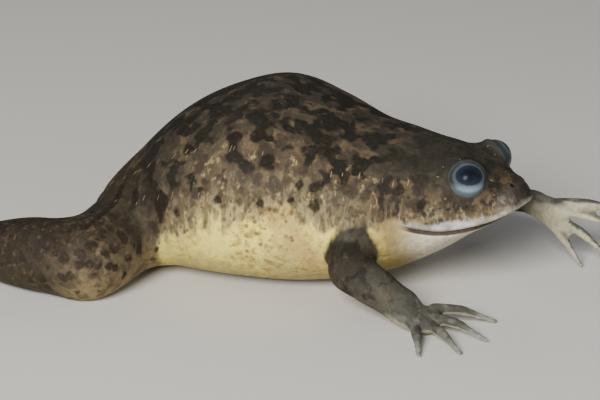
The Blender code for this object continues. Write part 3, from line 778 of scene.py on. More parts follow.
def eyeball(centre, axis):
    """Rings at angle a from the axis, radius r(a) = R (1 + 0.03 cos^8 a) on the front half."""
    a = np.linspace(0, np.pi, 42)[1:-1, None, None]
    b = np.linspace(0, 2 * np.pi, 64, endpoint=False)[None, :, None]
    level, upright = square_to(axis)
    radius = BALL_RADIUS * (1 + CORNEA * np.cos(a) ** 8 * (np.cos(a) > 0))
    out = np.cos(a) * axis + np.sin(a) * (np.cos(b) * level + np.sin(b) * upright)
    return centre + radius * out, centre + axis * BALL_RADIUS * (1 + CORNEA), centre - axis * BALL_RADIUS


eyeballs = []
for side, node in ((-1, "eye_right"), (1, "eye_left")):
    centre, axis = EYE * np.array((1, side, 1)), EYE_AXIS * np.array((1, side, 1))
    ball = mesh_of(node.replace("eye", "eyeball"), [eyeball(centre, axis)])
    out = (read(ball.data, "co", 3) - centre) / EYE_RADIUS
    level, upright = square_to(axis)
    # The dark disc is an oval, longer than high, a little above the middle.
    spread = np.hypot(0.73 * (out @ level), 1.12 * (out @ upright - 0.05))
    store(ball, "from_pupil", np.degrees(np.arctan2(spread, out @ axis)))
    store(ball, "rise", out[:, 2])
    settle(ball, [node])
    eyeballs.append(ball)
    print(ball.name, len(ball.data.polygons), "faces")

# %% [markdown]
# ## Webs
#
# Between the toes of a hind foot is a thin membrane, slack when the foot rests. Each one is a
# grid between two toes with a scalloped edge, a shallow sag and fine ripples that follow the
# toes, and Solidify gives it a thickness. Cloth simulation could drape it too, but a formula is
# quicker and keeps the edge where it is put.

# %% Four webs a foot
WEB_ROWS, WEB_ACROSS = 34, 16
WEB_THICKNESS, WEB_CLEARANCE = 0.42, 0.05


def web_surface(first, second, phase):
    """Between toe lines A(s) and B(s): A + t (B - A), with the free edge drawn in by
    0.34 * 4t(1 - t), lowered by a sag of the same shape, and rippled by a sine across."""
    s = np.linspace(0, 1, WEB_ROWS)[:, None, None]
    t = np.linspace(0, 1, WEB_ACROSS)[None, :, None]
    hollow = 4 * t * (1 - t)
    reach = 0.93 * (1 - 0.34 * hollow) * s
    arch = 0.5 * np.sin(np.pi * np.minimum(reach / 0.9, 1)) * UPWARD
    a = first[0] + (first[1] - first[0]) * reach
    b = second[0] + (second[1] - second[0]) * reach
    place = a + (b - a) * t + arch * 0.9
    ripple = 0.12 * hollow * np.sin(9 * np.pi * t + phase + 3 * s) * np.minimum(3 * s, 1)
    return place + (ripple - 0.35 * hollow * s) * UPWARD


def grid_faces(rows, across, offset):
    """Quads of an open grid."""
    r, s = np.meshgrid(np.arange(rows - 1), np.arange(across - 1), indexing="ij")
    a = offset + r * across + s
    return np.stack([a, a + 1, a + across + 1, a + across], axis=2).reshape(-1, 4)


both_webs = []
for foot in FEET:
    toes = list(zip(*toe_ends(foot)))
    sheets = [web_surface(toes[k], toes[k + 1], k * 1.3) for k in range(len(toes) - 1)]
    size = WEB_ROWS * WEB_ACROSS
    faces = np.vstack([grid_faces(WEB_ROWS, WEB_ACROSS, k * size) for k in range(len(sheets))])
    webs = new_piece(f"webs_{foot}", np.array(sheets), faces.tolist())
    from_root = np.repeat(np.linspace(0, 1, WEB_ROWS), WEB_ACROSS)
    store(webs, "reach", np.tile(from_root, len(sheets)))
    thick = webs.modifiers.new("thickness", "SOLIDIFY")
    thick.thickness = WEB_THICKNESS
    thick.offset = 0.0
    baked(webs)
    coords = read(webs.data, "co", 3)
    coords[:, 2] = np.maximum(coords[:, 2], WEB_CLEARANCE)
    webs.data.vertices.foreach_set("co", coords.ravel())
    settle(webs)
    both_webs.append(webs)
    print(webs.name, len(webs.data.polygons), "faces")

# %% [markdown]
# ## Claws
#
# The three inner toes of each hind foot end in a short black claw, which gives the frog its
# name. Each is a cone whose path bends down to the ground: a cone primitive would be straight.

# %% Six curved claws
CLAW_LENGTH, CLAW_RADIUS, CLAW_DROP = 3.5, 0.9, 0.5


def claw_rings(tip, reach):
    """Along s: centre = base + L s reach + a slight arch - drop s^2, and radius
    = r (1 - s^1.7), drawn to a point."""
    base = tip + reach * 0.15
    s = np.linspace(0, 0.98, 22)[:, None, None]
    a = np.linspace(0, 2 * np.pi, 20, endpoint=False)[None, :, None]
    across = np.cross(reach, UPWARD)
    radius = CLAW_RADIUS * (1 - s**1.7)
    centre = base + reach * CLAW_LENGTH * s + UPWARD * (0.12 * np.sin(np.pi * s) - CLAW_DROP * s**2)
    rings = centre + radius * (np.cos(a) * across + np.sin(a) * UPWARD * 0.9)
    return rings, base - reach * 0.5, centre[-1, 0] + reach * 0.08


horns = []
for foot in FEET:
    roots, tips = toe_ends(foot)
    for k in range(3):
        reach = tips[k] - roots[k]
        reach[2] = 0
        reach /= np.linalg.norm(reach)
        claw = mesh_of(f"horn_{foot}_{k + 1}", [claw_rings(tips[k], reach)])
        settle(claw, [f"claw_{foot}_{k + 1}"])
        horns.append(claw)
print(len(horns), "claws")

# %% [markdown]
# ## Stitches of the lateral line
#
# The species keeps its lateral line as an adult: rows of short pale bars, like stitches, round
# the eyes and along the flanks. Each row is a path on the body, and each bar is one small
# half-round, laid on the skin by its nearest point and normal. A texture could draw them, but
# real ones stand up a little and catch the light.


# %% Rows of stitches
def flank_row(start, end, low, high, count, bow=0.0):
    """Places along x at a share of the height from the widest line to the back."""
    x = np.linspace(start, end, count)
    width, level, back, _ = section(x)
    s = np.linspace(0, 1, count)
    share = low + (high - low) * s + bow * np.sin(np.pi * s)
    z = level + share * (back - level)
    y = width * (1 - np.clip(share, 0, 1) ** ROUND_ABOVE) ** (1 / ROUND_ABOVE)
    return np.column_stack([x, y, z])


def eye_row(radius, count):
    """A ring of places round the eye, square to its axis."""
    a = np.linspace(0, 2 * np.pi, count, endpoint=False)[:, None]
    level, upright = square_to(EYE_AXIS)
    return EYE + radius * (np.cos(a) * level + np.sin(a) * upright)


TOO_FAR = 3.0
rows = [
    flank_row(-42, 36, 0.50, 0.60, 24, 0.10),
    flank_row(-36, 24, 0.20, 0.24, 19, 0.06),
    flank_row(28, 36, 0.28, 0.34, 4),
    eye_row(6.1, 10),
]
places = np.vstack(rows + [r * (1, -1, 1) for r in rows])
rng = np.random.default_rng(7)
places = places + rng.normal(0, (0.75, 0.35, 0.55), places.shape)
found = [skin_tree.find_nearest(Vector(p)) for p in places]
seat = np.array([f[0] for f in found])
out = np.array([f[1] for f in found])
keep = np.linalg.norm(seat - places, axis=1) < TOO_FAR
seat, out = seat[keep], out[keep]
print(len(seat), "stitches")

# %% Which way each stitch lies, and how long it is
NEAR_EYE = 7.5
to_eye = seat - EYE * to_left(seat)
near_eye = np.linalg.norm(to_eye, axis=1) < NEAR_EYE
# A stitch near an eye points away from it, and one on the flank is nearly upright.
along = np.where(near_eye[:, None], to_eye, np.array((0.12, 0, 1.0)))
along = along - out * np.sum(along * out, axis=1)[:, None]
along /= np.linalg.norm(along, axis=1)[:, None] + 1e-9
across = np.cross(out, along)
length = rng.uniform(0.6, 1.1, len(seat)) * np.where(near_eye, 0.45, 1.0)
print("from", round(float(length.min()), 2), "to", round(float(length.max()), 2), "mm half length")

# %% One mesh of small half-rounds
BAR_SIDES, BAR_RINGS = 12, 4
BAR_WIDTH, BAR_HEIGHT, BAR_SUNK = 0.16, 0.17, 0.09

u = np.linspace(0, 2 * np.pi, BAR_SIDES, endpoint=False)[None, :]
v = np.linspace(0.15, np.pi / 2, BAR_RINGS)[:, None]
unit = np.stack([np.sin(v) * np.cos(u), np.sin(v) * np.sin(u), np.cos(v) * np.ones_like(u)], 2)
unit = unit.reshape(-1, 3)[None]
bars = (
    seat[:, None]
    + unit[..., 0:1] * (along * length[:, None])[:, None]
    + unit[..., 1:2] * (across * BAR_WIDTH)[:, None]
    + (unit[..., 2:3] * BAR_HEIGHT - BAR_SUNK) * out[:, None]
)
r, s = np.meshgrid(np.arange(BAR_RINGS - 1), np.arange(BAR_SIDES), indexing="ij")
here, beside = r * BAR_SIDES + s, r * BAR_SIDES + (s + 1) % BAR_SIDES
quads = np.stack([here, here + BAR_SIDES, beside + BAR_SIDES, beside], 2).reshape(-1, 4)
first_points = np.arange(len(seat))[:, None] * unit.shape[1]
quads = (quads[None] + first_points[..., None]).reshape(-1, 4)
caps = first_points + np.arange(BAR_SIDES)[None]
stitches = new_piece("stitches", bars, quads.tolist() + caps.tolist())
settle(stitches)
print("stitches", len(stitches.data.polygons), "faces")

# %% [markdown]
# ## Materials
#
# Every finish is worked out from noise and from the stored measures, so it needs no picture
# and stays sharp close up. Wiring such a material by hand takes dozens of Math nodes. A small
# class turns shader maths into plain expressions instead: a wrapped socket can be added,
# subtracted or multiplied, and each such operation leaves one Math node behind.


# %% A socket that can do sums
class Wire:
    """A number that comes out of a node. Operators add Math nodes."""

    def __init__(self, paint, socket):
        self.paint, self.socket = paint, socket

    def _math(self, operation, *values):
        settings = {"operation": operation}
        return self.paint.node("ShaderNodeMath", settings, dict(enumerate(values)))

    def __add__(self, other):
        return self._math("ADD", self, other)

    def __sub__(self, other):
        return self._math("SUBTRACT", self, other)

    def __rsub__(self, other):
        return self._math("SUBTRACT", other, self)

    def __mul__(self, other):
        return self._math("MULTIPLY", self, other)

    def __abs__(self):
        return self._math("ABSOLUTE", self)

    __radd__ = __add__

    def step(self, low, high):
        """0 below low and 1 above high, with a soft rise. Low above high turns it round."""
        settings = {"interpolation_type": "SMOOTHSTEP"}
        ends = {0: self, 1: low, 2: high}
        if low > high:
            ends = {0: self, 1: high, 2: low, 3: 1.0, 4: 0.0}
        return self.paint.node("ShaderNodeMapRange", settings, ends)


# %% A material that is built up in layers
class Paint:
    """One material, its nodes, and the colour that has been laid so far."""

    def __init__(self, name):
        self.material = bpy.data.materials.new(name)
        self.material.use_nodes = True
        self.tree = self.material.node_tree
        self.shader = self.tree.nodes["Principled BSDF"]
        self.colour = None

    def fill(self, made, key, value):
        """Links an input to a wire, or sets it to a number, a vector or a colour."""
        if isinstance(value, Wire):
            self.tree.links.new(value.socket, made.inputs[key])
        else:
            made.inputs[key].default_value = value

    def node(self, kind, settings=None, inputs=None, output=0):
        """Adds a node, sets it, then fills or links its inputs by name or number."""
        made = self.tree.nodes.new(kind)
        for name, value in (settings or {}).items():
            setattr(made, name, value)
        for key, value in (inputs or {}).items():
            self.fill(made, key, value)
        return Wire(self, made.outputs[output])

    def ramp(self, value, stops):
        """Colours along a value from -1 to 1. The stops run from 0 to 1."""
        made = self.node("ShaderNodeValToRGB", {}, {0: (value + 1.0) * 0.5})
        elements = made.socket.node.color_ramp.elements
        while len(elements) < len(stops):
            elements.new(0.5)
        for element, (place, colour) in zip(elements, stops):
            element.position = place
            element.color = (*colour, 1.0)
        return made

    def vector(self, operation, inputs):
        return self.node("ShaderNodeVectorMath", {"operation": operation}, inputs)

    def number(self, name):
        """A stored measure of the mesh."""
        return self.node("ShaderNodeAttribute", {"attribute_name": name}, {}, "Fac")

    def place(self):
        """Where the point is on the frog, in metres."""
        return self.node("ShaderNodeTexCoord", {}, {}, "Object")

    def coordinate(self, place, axis):
        """One of a place's three numbers: 0 ahead, 1 to the left, 2 up."""
        return self.node("ShaderNodeSeparateXYZ", {}, {0: place}, axis)

    def stretched(self, place, factors):
        """A place scaled along each axis. Marks drawn there are longer where the factor is small."""
        return self.vector("MULTIPLY", {0: place, 1: factors})

    def shifted(self, place, amount, scale):
        """A place moved about by noise, so that what is drawn there gets an uneven outline."""
        wobble = self.node("ShaderNodeTexNoise", {}, {"Vector": place, "Scale": scale}, 1)
        centred = self.vector("SUBTRACT", {0: wobble, 1: (0.5, 0.5, 0.5)})
        return self.vector("ADD", {0: place, 1: self.vector("SCALE", {0: centred, 3: amount})})

    def noise(self, place, scale, detail=3.0, rough=0.5, distort=0.0):
        """Soft cloudy noise from 0 to 1. Detail adds finer layers, and rough is their strength."""
        values = {"Vector": place, "Scale": scale, "Detail": detail, "Roughness": rough}
        return self.node("ShaderNodeTexNoise", {}, {**values, "Distortion": distort}, 0)

    def marks(self, place, scale, low, high, detail=3.0, rough=0.5):
        """Noise cut to separate marks: 0 below low, 1 above high."""
        return self.noise(place, scale, detail, rough).step(low, high)

    def cells(self, place, scale, feature="F1"):
        """Distance to the nearest of many scattered places, or to the border between them."""
        values = {"Vector": place, "Scale": scale}
        return self.node("ShaderNodeTexVoronoi", {"feature": feature}, values, "Distance")

    def mix(self, share, under, over):
        """A colour between two, by a share."""
        under = (*under, 1.0) if isinstance(under, tuple) else under
        over = (*over, 1.0) if isinstance(over, tuple) else over
        settings = {"data_type": "RGBA", "clamp_factor": True}
        return self.node("ShaderNodeMix", settings, {0: share, 6: under, 7: over}, 2)

    def lay(self, share, tint):
        """Lays a tint over the colour so far, by a share."""
        self.colour = self.mix(share, self.colour, tint)

    def bump(self, height, distance, strength=1.0):
        """Relief: the height counts in the given distance, in metres."""
        values = {"Height": height, "Distance": distance, "Strength": strength}
        return self.node("ShaderNodeBump", {}, values)

    def finish(self, roughness, normal=None, **numbers):
        """Feeds the shader with the colour. Numbers are constants on its own sockets."""
        self.fill(self.shader, "Base Color", self.colour)
        self.fill(self.shader, "Roughness", roughness)
        if normal is not None:
            self.fill(self.shader, "Normal", normal)
        for name, value in numbers.items():
            self.fill(self.shader, name.replace("_", " "), value)

    def put_on(self, *pieces):
        """Makes this the only material of each piece."""
        for piece in pieces:
            piece.data.materials.clear()
            piece.data.materials.append(self.material)


print("shader tools ready")

# %% [markdown]
# ### Skin: the ground
#
# The material of the frog's skin is called `hide` here. From the back down, its ground runs
# from dark brown through olive to cream, and turns darker again at the very bottom, where it
# is painted shade. Over that come spots, blotches and pale flecks, each laid over what is there,
# as a painter would do it.
# `waver` is a slow noise that keeps the borders between colours from being straight lines, and
# `streak` and `finger` are upright ones, which let the dark run down the flank in tongues.

# %% Measures that the skin's colours share
hide = Paint("wet mottled skin")
place = hide.place()
ahead = hide.coordinate(place, 0)
side = hide.coordinate(place, 1)
height = hide.number("height")
jaw = hide.number("jaw")
face = hide.number("face")
up = hide.number("up")
in_mouth = hide.number("mouth")
leg_lead = hide.number("leg")
digit_lead = hide.number("digit")
waver = hide.noise(place, 120.0) - 0.5
upright = hide.stretched(place, (1.0, 1.0, 0.34))
streak = hide.noise(hide.shifted(upright, 0.001, 300.0), 430.0, 3.0, 0.6) - 0.5
finger = hide.noise(hide.stretched(place, (1.0, 1.0, 0.30)), 290.0, 2.0) - 0.5
print("measures of the skin ready")

# %% Which part is which
leg = (leg_lead + waver * 7.0).step(-2.0, 2.0)
arm = (hide.number("arm") + waver * 6.0 + streak * 3.0).step(-1.8, 1.2)
digit = digit_lead.step(-0.8, 1.2)
trunk = (1 - leg) * (1 - arm)
groin = abs(leg_lead).step(9.0, 3.0) * (1 - arm)
hand = digit * arm
bare_arm = arm * (1 - digit)
neck = ahead.step(0.022, 0.032) * (0.10 - height.step(0.45, 0.70) * 0.20)
tone = height + waver * 0.50 + streak * 0.46 + finger * 0.28
tone = tone + ahead.step(-0.003, -0.014) * 0.12 - neck
limb_tone = up + waver * 0.5
print("masks of trunk, legs, arms and digits ready")

# %% The ground colours of body, legs and arms
# The two lowest stops darken the underside of the belly: painted shade.
BODY_GROUND = [
    (0.00, (0.36, 0.285, 0.150)),
    (0.26, (0.52, 0.430, 0.140)),
    (0.40, (0.76, 0.645, 0.160)),
    (0.505, (0.70, 0.580, 0.150)),
    (0.545, (0.44, 0.362, 0.145)),
    (0.580, (0.305, 0.252, 0.128)),
    (0.66, (0.158, 0.127, 0.074)),
    (0.78, (0.090, 0.068, 0.045)),
    (0.90, (0.061, 0.049, 0.035)),
    (1.00, (0.036, 0.031, 0.025)),
]
LEG_GROUND = [
    (0.00, (0.33, 0.25, 0.120)),
    (0.28, (0.190, 0.145, 0.076)),
    (0.52, (0.112, 0.087, 0.053)),
    (0.78, (0.056, 0.045, 0.031)),
    (1.00, (0.026, 0.022, 0.017)),
]
ARM_GROUND = [
    (0.00, (0.11, 0.092, 0.060)),
    (0.35, (0.042, 0.036, 0.027)),
    (1.00, (0.020, 0.018, 0.014)),
]
hide.colour = hide.ramp(tone, BODY_GROUND)
hide.lay(leg, hide.ramp(limb_tone, LEG_GROUND))
hide.lay(arm, hide.ramp(limb_tone, ARM_GROUND))
print("ground colours mixed")

# %% [markdown]
# ### Skin: belly
#
# The cream of the belly isn't even. It has a tan patch near the middle, which reaches forward
# lower down, where it is a painted shadow of the arm. It turns mustard towards the thigh, is
# paler on the left and at the rump, and is stippled all over with fine brown.
# The crumbs are small cells, which look more like grains of pigment than clouds of noise do.

# %% Tints and stipple of the pale belly
TAN_AND_ARM_SHADOW, PALE_CREAM, MUSTARD = (0.44, 0.32, 0.12), (0.60, 0.53, 0.36), (0.40, 0.33, 0.12)
STIPPLE_BROWN, CRUMB_BROWN = (0.24, 0.145, 0.05), (0.13, 0.085, 0.038)

pale_zone = tone.step(-1.0, -0.8) * tone.step(0.24, 0.10) * trunk
# A tan patch that slants forward lower down, where it is painted shadow of the arm.
tan_and_arm_shadow = abs(ahead - 0.0105 + height * 0.009 + waver * 0.02).step(0.0075, 0.0015)
hide.lay(tan_and_arm_shadow * tone.step(-0.9, -0.5) * pale_zone * 0.85, TAN_AND_ARM_SHADOW)
right_flank = (1 - side.step(0.0, 0.012)) * ahead.step(-0.048, -0.036)
hide.lay((1 - right_flank) * pale_zone * 0.65, PALE_CREAM)
rear = (ahead + waver * 0.02).step(-0.004, -0.015) * right_flank * pale_zone
hide.lay(rear * 0.5, MUSTARD)
stipple = hide.marks(hide.shifted(place, 0.001, 500.0), 620.0, 0.48, 0.64, 3.0, 0.55)
patch = hide.marks(place, 85.0, 0.40, 0.60, 2.0)
hide.lay(stipple * (patch * 0.5 + 0.12) * pale_zone, STIPPLE_BROWN)
middle = abs(ahead - 0.0085 + waver * 0.03).step(0.012, 0.004)
crumbs = hide.cells(hide.shifted(place, 0.0012, 600.0), 560.0).step(0.42, 0.20)
hide.lay(crumbs * middle * pale_zone * tone.step(-0.65, -0.25) * 0.8, CRUMB_BROWN)
print("belly tinted")

# %% [markdown]
# ### Skin: flank
#
# Where cream turns to brown the flank is woven from dark threads and pale flecks, both drawn
# out upright. Stretching the place before the noise is read is what makes them long.

# %% Threads and flecks of the flank
WARM_BROWN, THREAD_BROWN, FLECK_CREAM = (0.175, 0.124, 0.067), (0.060, 0.046, 0.026), (0.42, 0.345, 0.165)

warm = hide.marks(hide.shifted(place, 0.002, 350.0), 300.0, 0.48, 0.62)
hide.lay(warm * tone.step(0.14, 0.3) * 0.35, WARM_BROWN)
fleck_place = hide.shifted(hide.stretched(place, (1.0, 1.0, 0.42)), 0.0012, 700.0)
threads = hide.marks(fleck_place, 560.0, 0.49, 0.58, 2.0)
hide.lay(threads * tone.step(0.03, 0.14) * tone.step(0.8, 0.5) * trunk * 0.6, THREAD_BROWN)
flecks = hide.marks(hide.shifted(fleck_place, 0.0005, 900.0), 620.0, 0.585, 0.675, 2.0)
hide.lay(flecks * tone.step(0.08, 0.18) * tone.step(0.85, 0.45) * trunk * 0.65, FLECK_CREAM)
print("threads and flecks laid over the ground")

# %% [markdown]
# ### Skin: spots and blotches
#
# The marks grow from the belly up: specks, then round spots, then larger ones, which join on
# the back to a net of near-black blotches. A round spot is where the distance to a scattered
# place is small, and `spot_size` lets that limit drift, so that big and small ones mix. `fade`
# takes some dark out of each in fine grains.

# %% Round spots of the trunk
SPECK_BROWN, SMALL_BROWN, LARGE_BROWN = (0.060, 0.044, 0.030), (0.070, 0.049, 0.033), (0.040, 0.032, 0.024)

fade = hide.marks(place, 850.0, 0.25, 0.55, 3.0, 0.6) * 0.30 + 0.68
spot_place = hide.shifted(hide.stretched(place, (1.0, 1.0, 0.65)), 0.0018, 500.0)
spot_size = hide.noise(place, 190.0, 1.0)
specks = hide.cells(hide.shifted(spot_place, 0.0008, 800.0), 800.0).step(0.40, 0.22)
speck_zone = tone.step(0.02, 0.12) * tone.step(0.75, 0.45) * trunk
hide.lay(specks * speck_zone * fade * 0.7, SPECK_BROWN)
small = (spot_size * 0.95 - 0.12 - hide.cells(spot_place, 430.0)).step(-0.08, 0.20)
small_zone = tone.step(0.0, 0.16) * tone.step(1.0, 0.7) * trunk
hide.lay(small * small_zone * fade * 0.88, SMALL_BROWN)
large_far = hide.cells(hide.shifted(place, 0.0034, 360.0), 290.0)
large = (spot_size * 0.9 - 0.02 - large_far + tone * 0.08).step(-0.08, 0.18)
hide.lay(large * tone.step(0.20, 0.40) * trunk * fade * 0.88, LARGE_BROWN)
print("round spots laid on the trunk")

# %% Joined blotches of the back
BLOTCH_BLACK = (0.018, 0.0165, 0.0135)

net = hide.noise(hide.shifted(place, 0.003, 260.0), 205.0, 2.0, 0.5, 0.2)
net = (net + tone * 0.13).step(0.580, 0.685) * tone.step(0.30, 0.56)
hide.lay(net * trunk * (fade + 0.06), BLOTCH_BLACK)
print("blotches laid on the back")

# %% [markdown]
# ### Skin: legs and groin
#
# The hind legs are darker than the flank and carry spots of their own. The calf is darkest,
# partly as painted shade, and the skin between thigh and flank gets painted shade, with a
# darker painted line along the crease and a few upright bars on it.

# %% Spots, net and flecks of the legs
LEG_SPOT, DARK_CALF_AND_SHADE, LEG_NET = (0.026, 0.019, 0.014), (0.022, 0.019, 0.015), (0.042, 0.032, 0.022)
LEG_FLECK = (0.24, 0.19, 0.105)

leg_far = hide.cells(hide.shifted(place, 0.0024, 380.0), 310.0)
leg_spots = hide.noise(place, 150.0, 2.0) * 1.05 - 0.10 - leg_far + limb_tone * 0.10
leg_spots = leg_spots.step(-0.06, 0.18) * limb_tone.step(-0.9, -0.4) * leg
hide.lay(leg_spots * fade, LEG_SPOT)
# The rear of each leg is darkened: partly painted shade.
dark_calf_and_shade = (ahead + waver * 0.012).step(-0.028, -0.040) * leg
hide.lay(dark_calf_and_shade * 0.88, DARK_CALF_AND_SHADE)
leg_net = hide.marks(hide.shifted(place, 0.002, 420.0), 330.0, 0.48, 0.60, 3.0, 0.6)
hide.lay(leg_net * leg * 0.55, LEG_NET)
leg_flecks = hide.marks(hide.shifted(place, 0.001, 700.0), 640.0, 0.55, 0.66, 3.0, 0.6)
hide.lay(leg_flecks * leg * (1 - digit) * 0.14, LEG_FLECK)
print("legs marked")

# %% Painted shade along the groin's crease and over the groin, and its bars
CREASE_SHADE_BROWN, BAR_BLACK, SHADE_BROWN = (0.060, 0.048, 0.030), (0.020, 0.016, 0.012), (0.040, 0.033, 0.022)

# A dark line where leg meets flank: painted shade in the crease.
crease_shade = abs(leg_lead).step(2.4, 0.3) * (1 - arm)
hide.lay(crease_shade * 0.55, CREASE_SHADE_BROWN)
bars_place = hide.shifted(hide.stretched(place, (1.0, 1.0, 0.36)), 0.0020, 330.0)
groin_bars = hide.marks(bars_place, 300.0, 0.50, 0.60, 2.0)
hide.lay(groin_bars * groin * height.step(-0.35, 0.0) * fade, BAR_BLACK)
# Painted shade over the groin, most on its upper part.
hide.lay(groin * height.step(-0.2, 0.3) * 0.45, SHADE_BROWN)
print("groin marked")

# %% [markdown]
# ### Skin: arms
#
# The arms are dark with a weak mottle, and turn greyer towards the wrist, where the pale hand
# begins. The wrist needs no mask of its own: it is where the lead of the digits is still
# below zero but near it.

# %% Mottle of the arms
WRIST_GREY, ARM_PALE, ARM_DARK = (0.084, 0.078, 0.062), (0.078, 0.068, 0.048), (0.016, 0.015, 0.013)

hide.lay(digit_lead.step(-11.0, -1.0) * arm * 0.6, WRIST_GREY)
mottle = hide.marks(hide.shifted(place, 0.004, 200.0), 240.0, 0.46, 0.60)
hide.lay(mottle * bare_arm * 0.45, ARM_PALE)
dark_arm = hide.marks(hide.shifted(place, 0.003, 300.0), 300.0, 0.52, 0.64)
hide.lay(dark_arm * bare_arm * 0.7, ARM_DARK)
print("arms marked")

# %% [markdown]
# ### Skin: head
#
# The head is nearly black on top, with brown cheeks broken up by marks. Short pale dashes show
# between the eye and the lip, and a pale grey band up the front of the snout is a painted
# highlight. Most of it is placed by `jaw`, the height above the mouth line, so it follows the
# line of the mouth however that bends.

# %% Cheek, crown and snout
CHEEK_DARK, ISLAND_BROWN = (0.034, 0.026, 0.020), (0.125, 0.090, 0.050)
SNOUT_DARK, DASH_CREAM, SNOUT_HIGHLIGHT_GREY = (0.034, 0.029, 0.025), (0.33, 0.28, 0.20), (0.20, 0.185, 0.16)

above_lip = jaw.step(0.2, 1.2)
cheek = face * above_lip
cheek_marks = hide.marks(hide.shifted(place, 0.002, 420.0), 330.0, 0.46, 0.58, 3.0, 0.6)
hide.lay(cheek * cheek_marks * fade, CHEEK_DARK)
crown = face * (jaw + waver * 7.0).step(8.0, 11.5)
hide.lay(crown * 0.72, hide.mix(cheek_marks, (0.034, 0.031, 0.0245), (0.021, 0.0195, 0.016)))
islands = hide.marks(hide.shifted(place, 0.002, 380.0), 270.0, 0.50, 0.60, 2.0)
hide.lay(islands * cheek * (1 - crown) * 0.5, ISLAND_BROWN)
hide.lay(ahead.step(0.0545, 0.0590) * face * 0.6, SNOUT_DARK)
dashes = hide.marks(fleck_place, 950.0, 0.54, 0.62, 2.0) * jaw.step(7.0, 1.0) * face
dashes = dashes * (ahead.step(0.032, 0.042) * 0.6 + 0.4) * ahead.step(0.0585, 0.0555)
hide.lay(dashes * above_lip * 0.65, DASH_CREAM)
# A pale grey band from the lip up the front of the snout: a painted highlight.
snout_highlight = abs(ahead - 0.0560 + jaw * 0.00006).step(0.0024, 0.0) * jaw.step(8.0, 2.0) * face
hide.lay(snout_highlight * 0.36, SNOUT_HIGHLIGHT_GREY)
print("cheek, crown and snout painted")

# %% [markdown]
# The throat is cream like the belly, paler under the chin. The lip is a pale band along the
# mouth, ragged at its upper edge, thickest below the eye and thin at the snout. Under it runs
# a dark line of painted shade, in the slit of the mouth and just below the lip.

# %% Throat, lip and mouth
THROAT_BACK, THROAT_FRONT, THROAT_STIPPLE = (0.29, 0.220, 0.085), (0.66, 0.60, 0.47), (0.30, 0.20, 0.10)
LIP_GREY, LIP_PALE, MOUTH_SHADE = (0.29, 0.275, 0.27), (0.48, 0.465, 0.455), (0.034, 0.020, 0.015)

loose = (1 - in_mouth) * (finger * 9.0 + waver * 4.0 - 0.6)
throat = ((jaw + loose) * (in_mouth * 0.7 + 0.3)).step(0.15, -0.6) * face
under_chin = (ahead + waver * 0.008).step(0.032, 0.042)
hide.lay(throat, hide.mix(under_chin, THROAT_BACK, THROAT_FRONT))
hide.lay(throat * stipple * 0.25, THROAT_STIPPLE)
lip_top = ahead.step(0.0375, 0.0455) * 1.35 + 0.70 - ahead.step(0.047, 0.056) * 0.95
ragged = jaw - lip_top + (hide.noise(fleck_place, 640.0, 3.0, 0.6) - 0.5) * 2.2
lip = jaw.step(-0.20, 0.05) * ragged.step(0.75, -0.50) * in_mouth
lip_tint = hide.mix(hide.marks(place, 260.0, 0.4, 0.62, 2.0), LIP_GREY, LIP_PALE)
hide.lay(lip * (0.94 - ahead.step(0.050, 0.060) * 0.45), lip_tint)
# A dark line in the mouth's slit and under the lip: painted shade.
mouth = abs(jaw + 0.55).step(0.75, 0.30) * in_mouth
hide.lay(mouth * 0.95, MOUTH_SHADE)
print("throat, lip and mouth painted")

# %% [markdown]
# The nostrils are black, and the rim of each eye is dark with a greyer edge. The clear spots of
# the flank come after all other marks of the trunk, so that nothing pale covers them.

# %% Nostrils, rims of the eyes and the clear spots
NOSTRIL_BLACK, RIM_DARK, RIM_EDGE = (0.010, 0.009, 0.008), (0.034, 0.032, 0.026), (0.042, 0.046, 0.043)
SPOT_BLACK = (0.016, 0.013, 0.010)

eye_far = hide.number("eye_distance")
hide.lay(hide.number("nostril_distance").step(0.75, 0.40), NOSTRIL_BLACK)
hide.lay(eye_far.step(5.6, 5.0) * 0.7, RIM_DARK)
hide.lay(eye_far.step(4.85, 4.6) * 0.7, RIM_EDGE)
from_spot = hide.number("spot") + (hide.noise(place, 560.0, 3.0, 0.6) - 0.5) * 2.2
hide.lay(from_spot.step(0.35, -0.35) * fade * 0.95, SPOT_BLACK)
print("nostrils, rims and clear spots painted")

# %% [markdown]
# ### Skin: hands and feet
#
# The hands are pale below and dark above, and turn light grey at the fingertips. What faces
# down is told by the stored normal, with `waver` to break up the border.

# %% Hands, fingertips and feet
TIP_GREY, FOOT_BROWN = (0.30, 0.31, 0.285), (0.085, 0.072, 0.056)

pale_hand = hide.mix(patch, (0.36, 0.34, 0.245), (0.46, 0.435, 0.30))
dark_hand = hide.mix(mottle, (0.062, 0.060, 0.052), (0.130, 0.125, 0.105))
faces_down = (up + waver * 0.9 + side.step(0.002, -0.002) * 0.55).step(0.62, 0.05)
hide.lay(hand * 0.92, hide.mix(faces_down, dark_hand, pale_hand))
hide.lay(hide.number("tip").step(7.0, 1.0) * hand * 0.55, TIP_GREY)
hide.lay(digit * leg * 0.6, FOOT_BROWN)
print("hands and feet painted")

# %% [markdown]
# ### Skin: grain, relief and gloss
#
# Frog skin is smooth, but no real surface has one flat tone. A fine grain multiplies the whole
# colour, and a bump of pores, swells and wrinkles breaks up the shine. The gloss is kept low,
# so that highlights don't hide the pattern.

